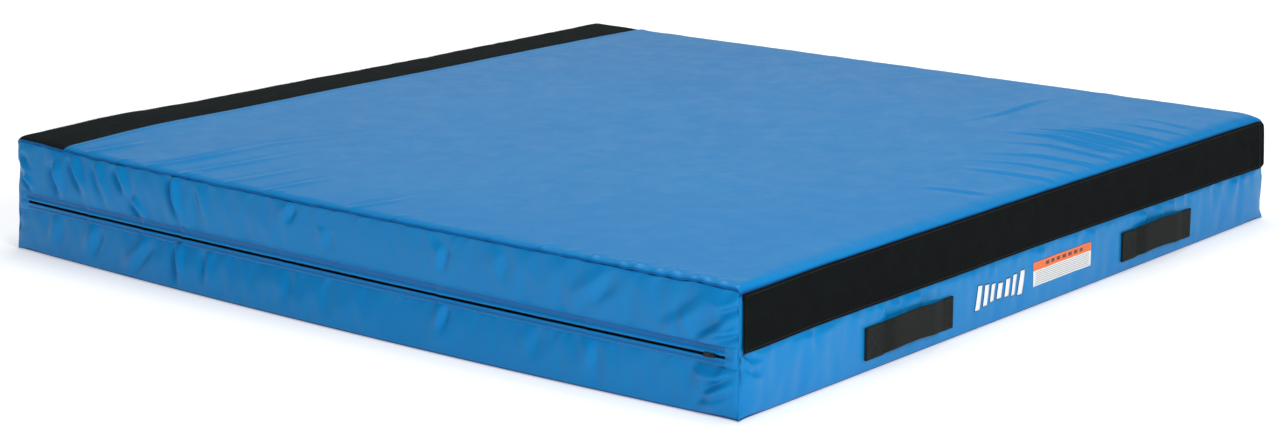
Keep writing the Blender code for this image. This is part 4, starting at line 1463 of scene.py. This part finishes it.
def mark_bars(name, grow, above, material):
    """A plain graphic of slanted bars that grow to the right, in place of the printed name."""
    x0, x1, z0, z1 = MARK
    count = 7
    pitch = (x1 - x0) / count
    verts, faces, total = [], [], 0
    for number in range(count):
        share = number / (count - 1)
        left = x0 + number * pitch + 0.0035
        width = pitch * 0.56
        low = z0 + 0.0065 * math.sin(math.pi * share)
        high = low + 0.024 + 0.014 * abs(2 * share - 1) ** 1.3
        u, v = np.meshgrid(np.linspace(0, 1, 5), np.linspace(0, 1, 13), indexing="ij")
        zz = low - grow + v * (high - low + 2 * grow)
        xx = left - grow + u * (width + 2 * grow) + 0.16 * (zz - low)
        verts.append(on_front(xx, zz, above).reshape(-1, 3))
        faces += (quads(5, 13) + total).tolist()
        total += 65
    obj = make(name, np.concatenate(verts), faces, material, warp=False)
    solid = obj.modifiers.new("thickness", "SOLIDIFY")
    solid.thickness, solid.offset = 0.12 * MM, -1.0


mark_bars("side_mark_edge", 1.1 * MM, 0.55 * MM, DARK_INK)
mark_bars("side_mark_bars", 0.0, 0.70 * MM, WHITE_INK)

# ---------------------------------------------------------------- foam inside
for name, node, low_z, high_z, material, slot in (
    ("core_base_foam", "base_foam", 5.5 * MM, 26.5 * MM, FOAM_BASE, "foam_base"),
    ("core_soft_foam", "soft_core_foam", 27.5 * MM, 149.5 * MM, FOAM_SOFT, "foam_soft"),
    ("core_firm_foam", "firm_top_foam", 150.5 * MM, 176.0 * MM, FOAM_FIRM, "foam_firm"),
):
    half, radius = HALF - 14 * MM, 12 * MM
    turn = np.radians(np.arange(0, 91, 15))
    quarter = np.stack([half - radius + radius * np.cos(turn), half - radius + radius * np.sin(turn)], 1)
    outline = np.concatenate([quarter, quarter[::-1] * (-1, 1), -quarter, quarter[::-1] * (1, -1)])
    rows = [
        (low_z, 4 * MM),
        (low_z + 1.2 * MM, 1.2 * MM),
        (low_z + 4 * MM, 0),
        (high_z - 4 * MM, 0),
        (high_z - 1.2 * MM, 1.2 * MM),
        (high_z, 4 * MM),
    ]
    points = np.array(
        [[(px * (1 - inset / half), py * (1 - inset / half), z) for px, py in outline] for z, inset in rows]
    )
    k = len(outline)
    index = np.arange(len(rows) * k).reshape(len(rows), k)
    nxt = np.roll(index, -1, 1)
    faces = (
        np.stack([index[:-1], nxt[:-1], nxt[1:], index[1:]], -1).reshape(-1, 4).tolist()
        + [index[0][::-1].tolist(), index[-1].tolist()]
    )
    block = make(name, points.reshape(-1, 3), faces, material, warp=False)
    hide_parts(node)

# ---------------------------------------------------------------- zip metal carried over from the CAD
for node in ("zip_slider_body", "zip_pull_tab", "zip_top_stop", "zip_bottom_stop"):
    data = NODES[node].data
    data.materials.clear()
    data.materials.append(ZIP_METAL)

# ---------------------------------------------------------------- floor, light and camera
floor_mat, floor_tree, floor_shader = new_material("studio_floor", (0.86, 0.86, 0.86), 0.9)
haze = texture(floor_tree, "ShaderNodeTexNoise", 0.6, Detail=2.0)
floor_tree.links.new(
    blend_colours(floor_tree, haze.outputs["Fac"], (0.87, 0.87, 0.87), (0.85, 0.855, 0.86)),
    floor_shader.inputs["Base Color"],
)
floor_shader.inputs["Specular IOR Level"].default_value = 0.1
floor_shader.inputs["Emission Color"].default_value = (1, 1, 1, 1)
where = add(floor_tree, "ShaderNodeTexCoord")
radius = add(floor_tree, "ShaderNodeVectorMath", _operation="LENGTH")
floor_tree.links.new(where.outputs["Object"], radius.inputs[0])
floor_tree.links.new(
    spread(floor_tree, radius.outputs["Value"], 1.0, 4.0, 0.34, 0.85),
    floor_shader.inputs["Emission Strength"],
)
reach = 40.0
floor = make(
    "studio_floor",
    [(-reach, -reach, 0), (reach, -reach, 0), (reach, reach, 0), (-reach, reach, 0)],
    [(0, 1, 2, 3)],
    floor_mat,
    body=None,
    warp=False,
)
floor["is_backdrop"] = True

world = bpy.data.worlds.new("studio")
SCENE.world = world
world.use_nodes = True
world.node_tree.nodes["Background"].inputs["Color"].default_value = (0.93, 0.96, 1.0, 1)
world.node_tree.nodes["Background"].inputs["Strength"].default_value = 0.23


def softbox(name, place, aim, size, power):
    data = bpy.data.lights.new(name, "AREA")
    data.shape, data.size, data.size_y = "RECTANGLE", *size
    data.energy = power
    obj = bpy.data.objects.new(name, data)
    SCENE.collection.objects.link(obj)
    obj.location = place
    ahead = np.array(aim, float) - np.array(place, float)
    yaw, flat = math.atan2(ahead[0], ahead[1]), math.hypot(ahead[0], ahead[1])
    obj.rotation_euler = (math.pi / 2 + math.atan2(ahead[2], flat), 0, -yaw)


softbox("key", (-1.9, -3.6, 2.4), (-0.2, -0.3, 0.1), (1.3, 1.0), 100)
softbox("overhead", (0.35, 0.1, 3.8), (0, 0, 0.1), (3.0, 2.6), 92)
softbox("far_card", (4.2, 3.4, 1.6), (0, 0, 0.1), (5.5, 2.2), 13)

# the camera's place, lens and angles come from fitting a camera to the photo's corners
camera = bpy.data.cameras.new("photo_camera")
camera.sensor_width, camera.lens = 36.0, 78.33
camera.clip_end = 200
eye = bpy.data.objects.new("photo_camera", camera)
SCENE.collection.objects.link(eye)
eye.location = (-3.6486, -2.9416, 1.1570)
PITCH, YAW = math.radians(13.51), math.radians(50.815)
eye.rotation_euler = (math.pi / 2 - PITCH, 0, -YAW)
SCENE.camera = eye
SCENE.view_settings.view_transform = "Standard"

low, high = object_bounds()
